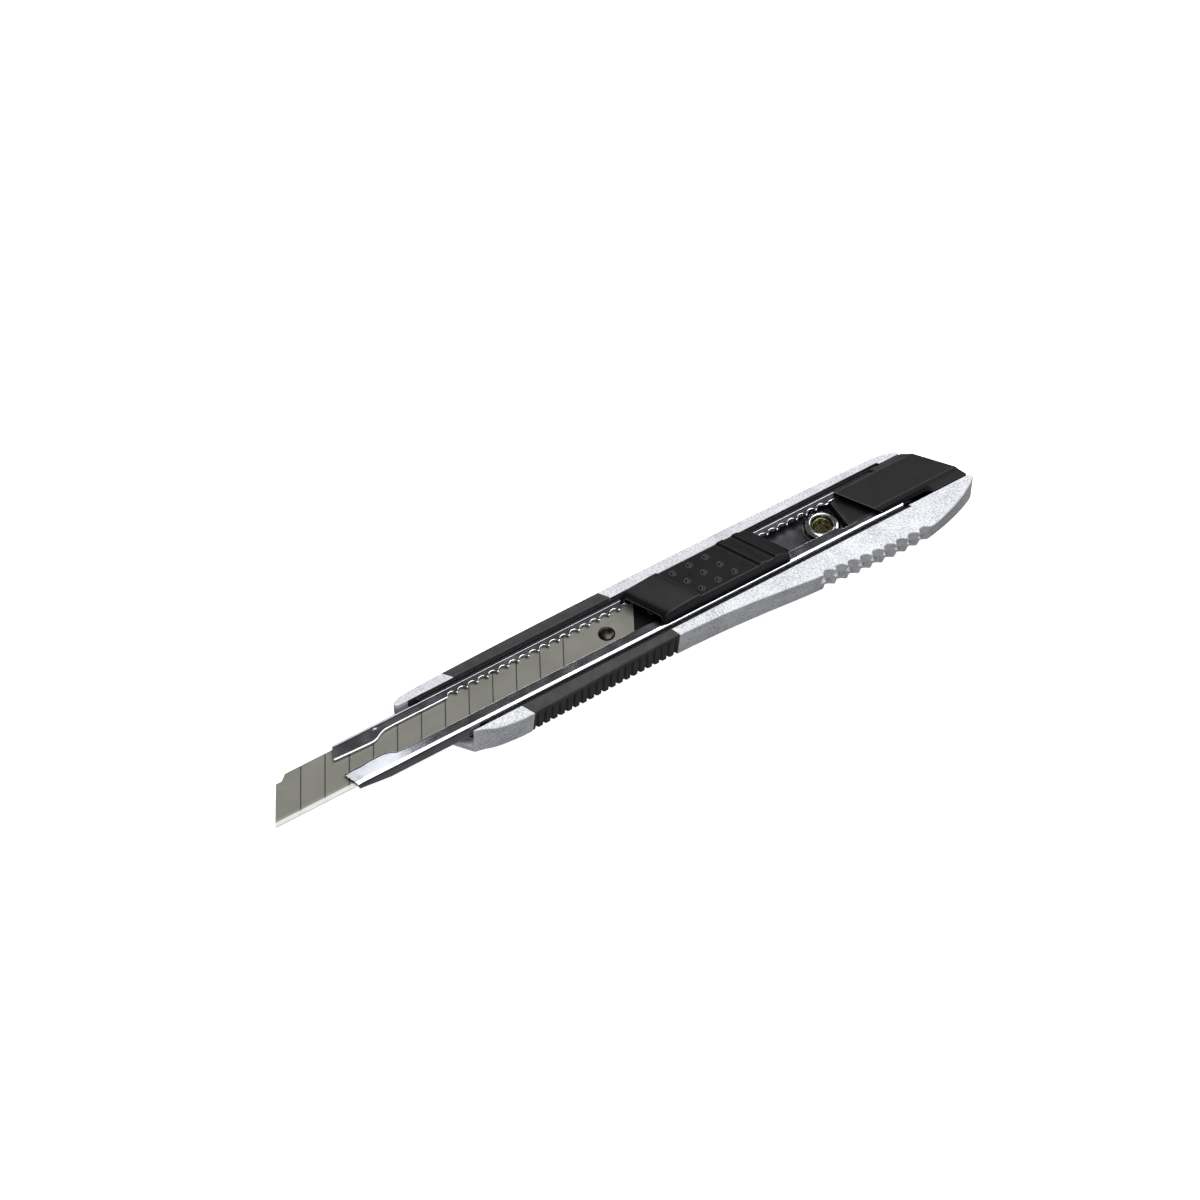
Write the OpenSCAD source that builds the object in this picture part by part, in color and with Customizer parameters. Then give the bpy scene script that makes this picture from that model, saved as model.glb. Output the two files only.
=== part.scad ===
// Snap-off utility knife: a die-cast handle with two rubber grips, a folded steel blade
// channel with a ratchet edge, a sliding blade with its lock, and a pull-off end cap.
// X runs from the mouth to the butt, +Y is the blade's spine side, -Y its cutting side,
// and Z rises from the flat underside. Places along the knife are counted from the
// channel's mouth; shifted() then moves them so that X = 0 is under the middle of the handle.

/* [Blade] */
// Width of the blade
blade_w = 9; // [8:0.1:12]
// Thickness of the blade
blade_t = 0.38; // [0.3:0.02:0.5]
// Distance from one score line to the next
segment_pitch = 5; // [4:0.1:6]
// Length that stands out of the mouth at rest
blade_out = 17.1; // [10:0.1:22]
// Angle between a score line and the cutting edge
score_angle = 60; // [52:1:70]
// Width of the ground bevel
bevel_w = 1.2; // [0.8:0.1:1.8]
// Width of a score line
score_w = 0.22; // [0.1:0.02:0.4]
// Depth of a score line
score_depth = 0.1; // [0.05:0.01:0.15]
// Diameter of the hole over the peg
blade_hole_d = 3.2; // [2.4:0.1:3.8]
// Unscored tail, from the last score line to the blade's end
blade_tail = 15.2; // [13:0.1:18]

/* [Channel] */
// Length of the folded steel channel
channel_len = 117; // [97:1:145]
// Height of the channel, outside
channel_h = 3; // [2.6:0.1:4]
// Thickness of its steel sheet
sheet = 0.5; // [0.4:0.05:0.6]
// Outside radius of its bends
bend_r = 0.9; // [0.8:0.05:1.1]
// Gap between the blade and each side wall
blade_side_play = 0.15; // [0.1:0.05:0.3]
// Gap between the blade and the lips over it
blade_top_play = 0.27; // [0.15:0.01:0.4]
// Width of the lip over the cutting edge
edge_lip = 2.6; // [2:0.1:3]
// Width of the lip over the spine, at the tips of the ratchet
spine_lip = 2.3; // [2:0.1:2.6]
// Extra width of both lips at the mouth
mouth_lip = 1.1; // [0.6:0.1:1.4]
// Length of the wide part of the lips
mouth_lip_len = 7.3; // [5:0.1:9]
// How far the lips' inner corners reach past the side walls
mouth_rake = 1.3; // [0.5:0.1:2]
// Length of the floor's ramp up to the blade at the mouth
mouth_ramp = 6.2; // [4:0.1:7]

/* [Ratchet] */
// Distance from one notch to the next
notch_pitch = 2.16; // [2.06:0.01:2.6]
// Radius of a notch
notch_r = 0.95; // [0.8:0.01:1]
// Depth of a notch
notch_depth = 0.75; // [0.5:0.01:0.85]
// Place of the first notch
first_notch = 23.8; // [22:0.1:26]

/* [Handle] */
// Thickness of the casting's floor
floor_t = 1.6; // [1.3:0.1:2.4]
// Height of the cradle under the channel
cradle_t = 2; // [1.6:0.1:3]
// Thickness of the cradle's sides
cradle_side = 0.7; // [0.5:0.05:1]
// Height of the casting's inner edge above the channel
casting_rise = 0.3; // [0.1:0.05:0.6]
// Place of the casting's front edge on the centre line
casting_front = 18.4; // [16:0.1:22]
// Length of the handle behind the channel, on the centre line
butt_len = 10; // [8:0.1:14]
// Slant of the butt and the front edge
handle_slant = 36.8; // [30:0.1:42]
// Fall of the top faces towards the outside
top_fall = 14; // [5:1:20]
// Distance from one finger scallop to the next
scallop_pitch = 2.59; // [2.45:0.01:3]
// Radius of a finger scallop
scallop_r = 1.26; // [1.1:0.01:1.4]
// Number of finger scallops
scallop_count = 9; // [5:1:10]

/* [Grips] */
// Length of the grip on the cutting side
edge_grip_len = 32.2; // [26:0.1:36]
// Length of the grip on the spine side
spine_grip_len = 34.1; // [28:0.1:38]
// Slant of the grips' ends
grip_slant = 26.5; // [15:0.5:32]
// Metal left inside a grip
grip_core = 0.8; // [0.6:0.05:1.1]
// Thickness of the rubber over the metal's top
grip_top = 1.3; // [1:0.05:1.6]
// Distance from one rib to the next
rib_pitch = 1.57; // [1.4:0.01:2]
// Width of the groove between two ribs
rib_groove_w = 0.45; // [0.3:0.05:0.6]
// Depth of the groove between two ribs
rib_groove_depth = 0.5; // [0.3:0.05:0.7]

/* [Slider] */
// Length of the thumb piece on the centre line
slider_len = 28.3; // [26:0.1:30]
// Height of its middle above the channel
slider_h = 3; // [2.4:0.1:3.8]
// Width across its foot, less than the channel by this on each side
slider_inset = 0.5; // [0.4:0.05:0.9]
// Narrowing of each side towards the top
slider_lean = 0.42; // [0.2:0.02:0.8]
// Slant of its ends and steps
slider_slant = 26.5; // [15:0.5:30]
// Diameter of the peg that hooks the blade
peg_d = 3; // [2.3:0.1:3.1]
// Running gap between the sliding pieces and the channel
run_gap = 0.1; // [0.05:0.01:0.2]
// Spacing of the grip bumps along the knife
bump_pitch_x = 3.55; // [3:0.05:3.8]
// Spacing of the grip bumps across the knife
bump_pitch_y = 2.78; // [2.4:0.02:2.9]

/* [End cap] */
// Height of the cap above the channel
cap_h = 1.5; // [1.2:0.1:2.4]
// Length of the cap's top behind its front edge, on the centre line
cap_top_len = 18.1; // [15:0.1:22]
// Slant of its front edge
cap_front_slant = 30.7; // [20:0.1:36]
// Gap around the cap
cap_gap = 0.15; // [0.1:0.01:0.25]

/* [Screw and rivets] */
// Diameter of the screw's head
screw_head_d = 7; // [5.5:0.1:7.2]
// Height of the screw's head
screw_head_h = 1.45; // [1:0.05:1.5]
// Diameter of its shank
screw_d = 3; // [2.5:0.1:3.5]
// Distance from the screw to the channel's end
screw_inset = 15; // [14.8:0.1:17]
// Diameter of the front rivet
rivet_d = 2.4; // [2:0.1:3]
// Distance from the mouth to the front rivet
rivet_x = 30; // [27:0.5:40]

/* [Hidden] */

$fn = 48;
eps = 0.01;
far = 40;
side_far = 14;

// Widths across the knife
channel_in_w = blade_w + 2 * blade_side_play;
channel_w = channel_in_w + 2 * sheet;
half_w = channel_w / 2;
fit_gap = 0.05;
pocket_half = half_w + fit_gap + cradle_side + fit_gap;
rear_pocket_half = half_w + 0.3;
carrier_side_gap = 0.3;
grip_wall = pocket_half + grip_core;
edge_lip_y = -half_w + edge_lip;
spine_lip_y = half_w - spine_lip;

// Heights, from the underside up
z_channel = floor_t + cradle_t;
z_floor = z_channel + sheet;
z_lip = z_channel + channel_h - sheet;
z_top = z_channel + channel_h;
z_casting = z_top + casting_rise;
z_blade = z_lip - blade_top_play - blade_t;
z_blade_top = z_blade + blade_t;
z_carrier = z_floor + run_gap;
z_slider = z_top + run_gap;
z_mid = z_top + slider_h;
z_cap = z_top + cap_h;
z_grip_low = 0.3;
z_shank = 0.6;
z_grip_core = z_casting - grip_top;
z_ramp_top = z_blade - 0.7;
z_lip_cut = z_lip - 0.3;
z_spring = z_blade + 0.05;
z_spring_top = z_top - 0.05;
pin_foot = 0.3;
post_foot = 0.5;

// Lengths from the mouth
butt_x = channel_len + butt_len;
middle_shift = 2.3;
middle_x = (casting_front + butt_x) / 2 + middle_shift;
screw_x = channel_len - screw_inset;
cap_front = butt_x - cap_top_len;
channel_spare = 51;
segment_count = floor((channel_len - channel_spare) / segment_pitch);
blade_len = (segment_count - 1) * segment_pitch + blade_tail;
hole_inset = 3.25;
hole_x = blade_len - blade_out - hole_inset;
notch_past_screw = 2;
notch_count = floor((screw_x + notch_past_screw - first_notch) / notch_pitch) + 1;
spine_notch_y = spine_lip_y + notch_depth - notch_r;
lip_relief_x = screw_x + 1.4;
edge_relief = 0.85;
spine_relief = 0.35;
peg_to_slider = 7.85;
slider_front = hole_x + peg_to_slider;
slider_rear = slider_front + slider_len;
front_to_nose = 4.4;
lock_notch = round((slider_front + front_to_nose - first_notch) / notch_pitch);
lock_x = first_notch + lock_notch * notch_pitch;

// The finger scallops: how far before the butt they start, how deep they bite, the height
// where their two rows meet and how far the lower row is set back
scallop_run = 30;
scallop_bite = 0.75;
scallop_mid = 2.9;
scallop_shift = 1.05;

// The bosses on the casting's floor
boss_gap = 0.3;
boss_play = 0.2;
boss_wall = 1.65;
screw_boss_d = screw_d + 2 * boss_wall;
rivet_boss_d = rivet_d + 2 * boss_wall;

// The casting's outline: its cutting side from the front to the tip of the butt, and its
// spine side back again. Each point is [place, distance outside the pocket].
edge_side = [
    for (p = [[1.9, -3.35], [3.2, -0.95], [5.6, 0.95], [10.1, 2.05], [14.6, 2.45]])
        [casting_front + p[0], -pocket_half - p[1]],
    for (p = [[-82, 2.2], [-69, 1.85], [-61, 1.8], [-53, 2.05], [-43, 2.85], [-33.5, 3.9], [-27, 4.35],
        [-19, 5], [-12, 5.3], [-8, 5.25], [-4, 4.4], [0.2, 2.95], [3, 1.55], [4.75, 0.35]])
        [butt_x + p[0], -pocket_half - p[1]]];
spine_side = [
    for (p = [[-4.2, -0.35], [-5, 0.6], [-6.8, 1.25], [-9, 1.55], [-17, 1.9], [-30, 2.3], [-50, 2.6],
        [-69.5, 2.65], [-87, 2.6]])
        [butt_x + p[0], pocket_half + p[1]],
    for (p = [[6.6, 2.35], [1.1, 2.15], [-2.7, 1.85], [-3.9, 1.25], [-4.9, 0.35]])
        [casting_front + p[0], pocket_half + p[1]]];

// A smooth curve through every point of a list, with steps pieces between two points.
function curve_point(a, b, c, d, t) =
    0.5 * (2 * b + (c - a) * t + (2 * a - 5 * b + 4 * c - d) * t * t
        + (3 * b - a - 3 * c + d) * t * t * t);
function smooth(p, steps) = [
    for (i = [0:len(p) - 2], k = [0:steps - 1])
        curve_point(p[max(i - 1, 0)], p[i], p[i + 1], p[min(i + 2, len(p) - 1)], k / steps),
    p[len(p) - 1]];

// Moves a piece from mouth-based places to the part's own origin.
module shifted() {
    translate([-middle_x, 0, 0])
        children();
}

// A box from two corners.
module block(low, high) {
    translate(low)
        cube(high - low);
}

// An upright bar with a plan outline, from z0 to z1.
module upright(z0, z1) {
    translate([0, 0, z0])
        linear_extrude(height = z1 - z0)
            children();
}

// A bar along X whose section is drawn as [y, z].
module along_x(x0, x1) {
    translate([x0, 0, 0])
        rotate([90, 0, 90])
            linear_extrude(height = x1 - x0)
                children();
}

// A bar across the knife whose side view is drawn as [x, z] on the centre line. Its
// edges run at the given slant, so that the spine side lies nearer the mouth.
module across(points, slant) {
    rotate([0, 0, slant])
        rotate([90, 0, 0])
            linear_extrude(height = 8 * far, center = true)
                polygon([for (p = points) [p[0] * cos(slant), p[1]]]);
}

// A rectangle with round corners, from its low corner.
module round_rect(low, size, r) {
    translate(low + [r, 0])
        square(size - [2 * r, 0]);
    translate(low + [0, r])
        square(size - [0, 2 * r]);
    for (x = [r, size[0] - r], y = [r, size[1] - r])
        translate(low + [x, y])
            circle(r);
}

// The outline of the whole handle, in plan.
module handle_outline() {
    polygon(concat(smooth(edge_side, 4), smooth(spine_side, 4)));
}

// The handle's section, with top faces that fall towards the outside.
module handle_section() {
    reach = pocket_half + 6.5;
    fall = (reach - pocket_half) * tan(top_fall);
    polygon([[-reach, 0], [reach, 0], [reach, z_casting - fall], [pocket_half, z_casting],
        [-pocket_half, z_casting], [-reach, z_casting - fall]]);
}

// The solid handle before anything is cut out of it.
module handle_blank() {
    intersection() {
        upright(0, z_casting + 1)
            handle_outline();
        along_x(-far, butt_x + far)
            handle_section();
    }
}

// The part of a handle side that its grip takes up: side is -1 for the cutting side and
// 1 for the spine side, front is where the grip starts along the pocket's edge.
module grip_zone(side, front, length) {
    run = tan(grip_slant);
    inner = pocket_half - 1;
    function edge_x(y) = front - side * (abs(y) - pocket_half) * run;
    ends = [[edge_x(inner), side * inner], [edge_x(inner) + length, side * inner],
        [edge_x(side_far) + length, side * side_far], [edge_x(side_far), side * side_far]];
    intersection() {
        upright(-1, far)
            polygon(ends);
        union() {
            block([-far, side < 0 ? -side_far : grip_wall, -1],
                [butt_x + far, side < 0 ? -grip_wall : side_far, far]);
            block([-far, side < 0 ? -side_far : inner, z_grip_core],
                [butt_x + far, side < 0 ? -inner : side_far, far]);
        }
    }
}

edge_grip_front = casting_front + 14.2;
spine_grip_front = casting_front + 6.5;
rib_margin = 0.6;
first_rib = 0.9;
rib_below_top = 1.6;
grip_bulge = 2.3;

// Upright grooves between the ribs of a grip, following the handle's side.
module rib_grooves(side, front, length, outline) {
    count = floor((length - 2 * rib_margin) / rib_pitch);
    low = front - side * grip_bulge * tan(grip_slant) + first_rib;
    for (i = [0:count - 1]) {
        x = low + (i + 0.5) * rib_pitch;
        y = lookup(x, outline);
        block([x - rib_groove_w / 2, y - rib_groove_depth, z_grip_low - 1],
            [x + rib_groove_w / 2, y + rib_groove_depth, z_casting - rib_below_top]);
    }
}

// A finger scallop of the given number, counted from the front, from height z0 to z1.
module scallop(i, shift, z0, z1) {
    x = butt_x - scallop_run + i * scallop_pitch + shift;
    y = lookup(x, smooth(edge_side, 4)) + scallop_bite - scallop_r;
    translate([x, y, z0])
        cylinder(h = z1 - z0, r = scallop_r);
}

// A round boss on the casting's floor under the channel.
module floor_boss(x, d) {
    translate([x, 0, floor_t - eps])
        cylinder(h = cradle_t - boss_gap, d = d);
}

// The die-cast zinc body: a floor and two side walls with lobes, and finger scallops.
module handle_casting() {
    color("silver")
        shifted()
            difference() {
                union() {
                    difference() {
                        handle_blank();
                        block([-far, -pocket_half, floor_t], [channel_len + 1, pocket_half, far]);
                        block([channel_len, -rear_pocket_half, floor_t],
                            [far + butt_x, rear_pocket_half, far]);
                        grip_zone(-1, edge_grip_front, edge_grip_len);
                        grip_zone(1, spine_grip_front, spine_grip_len);
                        for (i = [0:scallop_count - 1]) {
                            scallop(i, scallop_shift, -1, scallop_mid);
                            scallop(i, 0, scallop_mid, far);
                        }
                        under_cuts();
                    }
                    floor_boss(screw_x, screw_boss_d);
                    floor_boss(rivet_x, rivet_boss_d);
                }
                translate([screw_x, 0, z_shank])
                    cylinder(h = far, d = screw_d);
                translate([rivet_x, 0, z_shank])
                    cylinder(h = far, d = rivet_d);
            }
}

// Two shallow recesses under the floor, which lighten the casting.
module under_cuts() {
    depth = 0.5;
    half = 3.2;
    rib_half = 3;
    end_gap = 6;
    for (x = [[rivet_x + end_gap, middle_x - rib_half], [middle_x + rib_half, screw_x - end_gap]])
        upright(-1, depth)
            round_rect([x[0], -half], [x[1] - x[0], 2 * half], 1.5);
}

// The ribbed rubber grip on one side.
module grip(side, front, length, side_points) {
    color([0.13, 0.13, 0.13])
        shifted()
            difference() {
                intersection() {
                    upright(z_grip_low, z_casting + 1)
                        handle_outline();
                    along_x(-far, butt_x + far)
                        handle_section();
                    grip_zone(side, front, length);
                }
                block([-far, -pocket_half, -1], [butt_x + far, pocket_half, far]);
                rib_grooves(side, front, length, side_points);
            }
}

module edge_side_grip() {
    grip(-1, edge_grip_front, edge_grip_len, smooth(edge_side, 4));
}

module spine_side_grip() {
    points = smooth(spine_side, 4);
    grip(1, spine_grip_front, spine_grip_len, [for (i = [len(points) - 1:-1:0]) points[i]]);
}

// The moulded cradle between the casting and the channel.
module channel_cradle() {
    front = casting_front + 4;
    behind = 0.7;
    below_lips = 0.6;
    slot_len = 8;
    slot_pitch = 12;
    slot_half = 3.6;
    out = half_w + fit_gap + cradle_side;
    color([0.1, 0.1, 0.1])
        shifted()
            difference() {
                intersection() {
                    block([-far, -out, floor_t], [channel_len + behind, out, z_top - below_lips]);
                    across([[front, 0], [front, far], [channel_len + far, far],
                        [channel_len + far, 0]], handle_slant);
                }
                block([-far, -half_w - fit_gap, z_channel], [channel_len + far, half_w + fit_gap, far]);
                translate([screw_x, 0, 0])
                    cylinder(h = far, d = screw_boss_d + boss_play);
                translate([rivet_x, 0, 0])
                    cylinder(h = far, d = rivet_boss_d + boss_play);
                for (x = [rivet_x + slot_len:slot_pitch:screw_x - slot_len - 6])
                    block([x, -slot_half, z_channel - 1], [x + slot_len, slot_half, far]);
            }
}

// The opening between the lips, in plan, before the ratchet notches: along the lip over
// the cutting edge to the rear, and along the ratchet lip back to the mouth.
module lip_opening() {
    e = edge_lip_y;
    s = spine_lip_y;
    lip_start = 0.65;
    edge_relief_x = lip_relief_x + 1.2;
    spine_relief_x = lip_relief_x + 2;
    plain_x = mouth_lip_len + 2;
    polygon([[-far, e + lip_start], [0, e + lip_start], [mouth_lip_len - 0.8, e + mouth_lip],
        [mouth_lip_len + 0.6, e + 0.7 * mouth_lip], [plain_x, e], [lip_relief_x, e],
        [edge_relief_x, e - edge_relief], [channel_len + far, e - edge_relief],
        [channel_len + far, s + spine_relief], [spine_relief_x, s + spine_relief],
        [spine_relief_x, s], [plain_x, s], [mouth_lip_len + 0.9, s - 0.5 * mouth_lip],
        [mouth_lip_len - 0.9, s - 1.15 * mouth_lip], [0, s - 1.4 * lip_start],
        [-far, s - 1.4 * lip_start]]);
}

// The folded steel channel that guides the blade, with its row of ratchet notches.
module blade_channel() {
    lip_corner = 2.1;
    ramp_foot = 0.6;
    ramp_side_end = 1.4;
    color([0.72, 0.73, 0.76])
        shifted() {
            difference() {
                intersection() {
                    along_x(-mouth_rake, channel_len)
                        round_rect([-half_w, z_channel], [channel_w, channel_h], bend_r);
                    rotate([90, 0, 0])
                        linear_extrude(height = far, center = true)
                            polygon([[-far, z_ramp_top], [0, z_ramp_top], [mouth_ramp, z_channel],
                                [channel_len + 1, z_channel], [channel_len + 1, far], [-far, far]]);
                }
                along_x(-far, channel_len + far)
                    round_rect([-half_w + sheet, z_floor], [channel_in_w, channel_h - 2 * sheet],
                        bend_r - sheet);
                upright(z_lip_cut, far)
                    lip_opening();
                for (side = [-1, 1])
                    upright(0, far)
                        polygon([[-far, 0], [-mouth_rake, 0], [-mouth_rake, side * lip_corner],
                            [0, side * half_w], [0, side * far], [-far, side * far]]);
                block([-far, -half_w - 1, -1], [0, half_w + 1, z_lip - 0.5]);
                for (i = [0:notch_count - 1])
                    translate([first_notch + i * notch_pitch, spine_notch_y, z_lip_cut])
                        cylinder(h = far, r = notch_r);
                translate([screw_x, 0, 0])
                    cylinder(h = far, d = screw_d + 0.2);
                translate([rivet_x, 0, z_channel])
                    cylinder(h = sheet, d1 = rivet_d, d2 = rivet_d + 2 * sheet);
                translate([rivet_x, 0, 0])
                    cylinder(h = far, d = rivet_d);
            }
            rotate([90, 0, 0])
                linear_extrude(height = channel_w - 2 * bend_r, center = true)
                    polygon([[0, z_ramp_top], [mouth_ramp, z_channel], [mouth_ramp + ramp_foot, z_channel],
                        [mouth_ramp + ramp_foot, z_floor], [mouth_ramp, z_floor],
                        [0, z_ramp_top + sheet]]);
            rotate([90, 0, 0])
                linear_extrude(height = channel_w - sheet, center = true)
                    polygon([[0, z_ramp_top], [mouth_ramp - ramp_side_end, z_channel + 0.3],
                        [mouth_ramp - ramp_side_end, z_floor + 0.2], [0, z_ramp_top + sheet]]);
        }
}

// The flush rivet that holds the front of the channel down.
module channel_rivet() {
    color([0.6, 0.6, 0.62])
        shifted() {
            translate([rivet_x, 0, z_shank])
                cylinder(h = z_floor - z_shank, d = rivet_d);
            translate([rivet_x, 0, z_channel])
                cylinder(h = sheet, d1 = rivet_d, d2 = rivet_d + 2 * sheet);
        }
}

washer_t = 0.3;

// The plain washer under the screw's head.
module screw_washer() {
    color([0.65, 0.65, 0.67])
        shifted()
            translate([screw_x, 0, z_floor])
                difference() {
                    cylinder(h = washer_t, d = screw_head_d + 0.3);
                    translate([0, 0, -1])
                        cylinder(h = 2, d = screw_d + 0.1);
                }
}

// The pan-head screw that clamps the channel to the casting.
module channel_screw() {
    head_z = z_floor + washer_t;
    edge = 0.45;
    crown_d = screw_head_d - 2.2;
    recess_len = 2;
    recess_half = 0.45;
    recess_foot = 0.35;
    recess_turn = 20;
    color([0.85, 0.85, 0.86])
        shifted()
            translate([screw_x, 0, 0])
                difference() {
                    union() {
                        translate([0, 0, z_shank])
                            cylinder(h = head_z - z_shank, d = screw_d);
                        translate([0, 0, head_z])
                            cylinder(h = screw_head_h - edge, d = screw_head_d);
                        translate([0, 0, head_z + screw_head_h - edge])
                            cylinder(h = edge, d1 = screw_head_d, d2 = crown_d);
                    }
                    for (a = [0, 90])
                        rotate([0, 0, a + recess_turn])
                            block([-recess_len, -recess_half, head_z + recess_foot],
                                [recess_len, recess_half, far]);
                }
}

// The snap-off blade, with its bevel, its score lines and the hole for the peg.
module snap_blade() {
    tip = -blade_out;
    e = -blade_w / 2;
    s = blade_w / 2;
    run = 1 / tan(score_angle);
    corner = s - 1.1;
    corner_low = 1.2;
    corner_high = 1.8;
    function slanted_x(x, y) = x + (y - e) * run;
    color([0.55, 0.56, 0.53])
        shifted()
            difference() {
                upright(z_blade, z_blade_top)
                    polygon([[tip, e], [tip + blade_len, e], [slanted_x(tip + blade_len, s), s],
                        [slanted_x(tip, s) + corner_high, s], [slanted_x(tip, corner) + corner_low, corner],
                        [slanted_x(tip, corner), corner]]);
                for (up = [0, 1])
                    along_x(tip - 1, tip + blade_len + 1)
                        polygon([[e - 1, z_blade + up * blade_t], [e + bevel_w, z_blade + up * blade_t],
                            [e - 1, z_blade + blade_t / 2]]);
                for (i = [1:segment_count - 1]) {
                    x = tip + i * segment_pitch;
                    upright(z_blade_top - score_depth, z_blade_top + 1)
                        polygon([[slanted_x(x, e - 1), e - 1], [slanted_x(x, e - 1) + score_w, e - 1],
                            [slanted_x(x, s + 1) + score_w, s + 1], [slanted_x(x, s + 1), s + 1]]);
                }
                translate([hole_x, 0, 0])
                    cylinder(h = far, d = blade_hole_d);
            }
}

carrier_half = channel_in_w / 2 - carrier_side_gap;
carrier_front = hole_x - 3.3;
carrier_block = hole_x + 10.7;
carrier_rear = slider_rear - 10.6;
neck_low = [carrier_block + 5, -2.2, 0];
neck_high = [carrier_rear - 1, 0.3, z_top + 1.5];
post_x = carrier_rear - 2.2;
post_y = spine_lip_y - 1.3;
post_d = 1.4;

// The moulded carrier that runs inside the channel and carries the blade.
module blade_carrier() {
    color([0.16, 0.16, 0.16])
        shifted()
            difference() {
                union() {
                    block([carrier_front, -carrier_half, z_carrier],
                        [carrier_rear, carrier_half, z_blade]);
                    block([carrier_block, -carrier_half, z_blade - eps],
                        [carrier_rear, post_y - 1.3, z_lip - run_gap]);
                    block([neck_low[0], neck_low[1], z_blade - eps], neck_high);
                }
                translate([hole_x, 0, z_carrier + pin_foot])
                    cylinder(h = far, d = peg_d);
                translate([post_x, post_y, z_carrier + post_foot])
                    cylinder(h = far, d = post_d);
            }
}

// The domed peg that stands through the blade's hole.
module blade_peg() {
    dome = 0.35;
    dome_narrowing = 1.2;
    low = z_carrier + pin_foot;
    shaft = z_blade_top + 0.1 - low;
    color([0.25, 0.23, 0.2])
        shifted()
            translate([hole_x, 0, low]) {
                cylinder(h = shaft, d = peg_d);
                translate([0, 0, shaft])
                    cylinder(h = dome, d1 = peg_d, d2 = peg_d - dome_narrowing);
            }
}

spring_t = 0.3;
eye_wall = 0.4;
nose_gap = 0.15;

// The middle line of the lock spring, from the post forward over the ratchet nose.
spring_line = smooth([[post_x, post_y - 0.95], [post_x - 4, post_y - 0.95], [lock_x + 2.6, post_y - 0.6],
    [lock_x + 1, post_y + 0.2], [lock_x - 1, post_y + 0.2], [lock_x - 2.2, post_y - 0.7],
    [lock_x - 3.3, post_y - 1.7], [lock_x - 2.9, post_y - 2.7]], 5);

// A leaf of constant thickness along a line, in plan.
module leaf(line, t) {
    function across_dir(i) =
        let (a = line[max(i - 1, 0)], b = line[min(i + 1, len(line) - 1)], d = b - a)
            [-d[1], d[0]] / norm(d);
    polygon(concat(
        [for (i = [0:len(line) - 1]) line[i] + across_dir(i) * t / 2],
        [for (i = [len(line) - 1:-1:0]) line[i] - across_dir(i) * t / 2]));
}

// The leaf spring whose round nose drops into the ratchet notches.
module lock_spring() {
    height = z_spring_top - z_spring;
    color([0.7, 0.7, 0.72])
        shifted()
            difference() {
                union() {
                    upright(z_spring, z_spring_top)
                        leaf(spring_line, spring_t);
                    translate([post_x, post_y, z_spring])
                        cylinder(h = height, d = post_d + 2 * eye_wall);
                    translate([lock_x, spine_notch_y, z_spring])
                        cylinder(h = height, r = notch_r - nose_gap);
                }
                translate([post_x, post_y, 0])
                    cylinder(h = far, d = post_d);
            }
}

// The post that holds the spring's eye on the carrier.
module spring_post() {
    color([0.5, 0.5, 0.52])
        shifted()
            translate([post_x, post_y, z_carrier + post_foot])
                cylinder(h = z_spring_top - z_carrier - post_foot, d = post_d);
}

// The thumb piece: a ramped front pad, a sunken middle with bumps, two steps and a crest.
module slider_button() {
    foot = half_w - slider_inset;
    top = foot - slider_lean;
    f = slider_front;
    r = slider_rear;
    line_1 = f + 7.7;
    line_2 = f + 20.4;
    ridge = 0.5;
    skirt = 0.5;
    bump_r = 0.75;
    bump_sunk = 0.45;
    side_view = [[f, z_slider], [f, z_mid - 1.2], [f + 0.9, z_mid - 0.1], [line_1 - 0.4, z_mid + 0.6],
        [line_1, z_mid], [line_2, z_mid], [line_2 + 0.4, z_mid + ridge],
        [line_2 + 1.6, z_mid + ridge], [line_2 + 2, z_mid + 0.1], [line_2 + 3.5, z_mid + 0.1],
        [line_2 + 3.9, z_mid + ridge], [r - 3.3, z_mid + ridge], [r - 0.4, z_mid - 1.1],
        [r, z_slider]];
    bump_x = (line_1 + line_2) / 2 - 0.95;
    color([0.12, 0.12, 0.12])
        shifted() {
            difference() {
                intersection() {
                    across(side_view, slider_slant);
                    along_x(-far, butt_x + far)
                        polygon([[-foot, z_slider], [foot, z_slider], [foot, z_slider + skirt],
                            [top, z_mid], [top - 0.1, z_mid + 1], [-top + 0.1, z_mid + 1], [-top, z_mid],
                            [-foot, z_slider + skirt]]);
                }
                block([neck_low[0] - fit_gap, neck_low[1] - fit_gap, 0],
                    neck_high + [fit_gap, fit_gap, fit_gap]);
            }
            for (i = [-1:1], j = [-1:1])
                translate([bump_x + i * bump_pitch_x - j * bump_pitch_y * tan(slider_slant),
                    j * bump_pitch_y, z_mid - bump_sunk])
                    sphere(r = bump_r);
        }
}

// The cap's section, as a flat top with a chamfer on each side.
module cap_section(half, plate) {
    rim = 0.2;
    flat_half = half_w - 1.75;
    shoulder_half = half_w - 1.1;
    z_shoulder = z_cap - 0.5;
    polygon([[-half, plate], [half, plate], [half, plate + rim], [shoulder_half, z_shoulder],
        [flat_half, z_cap], [-flat_half, z_cap], [-shoulder_half, z_shoulder], [-half, plate + rim]]);
}

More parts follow.
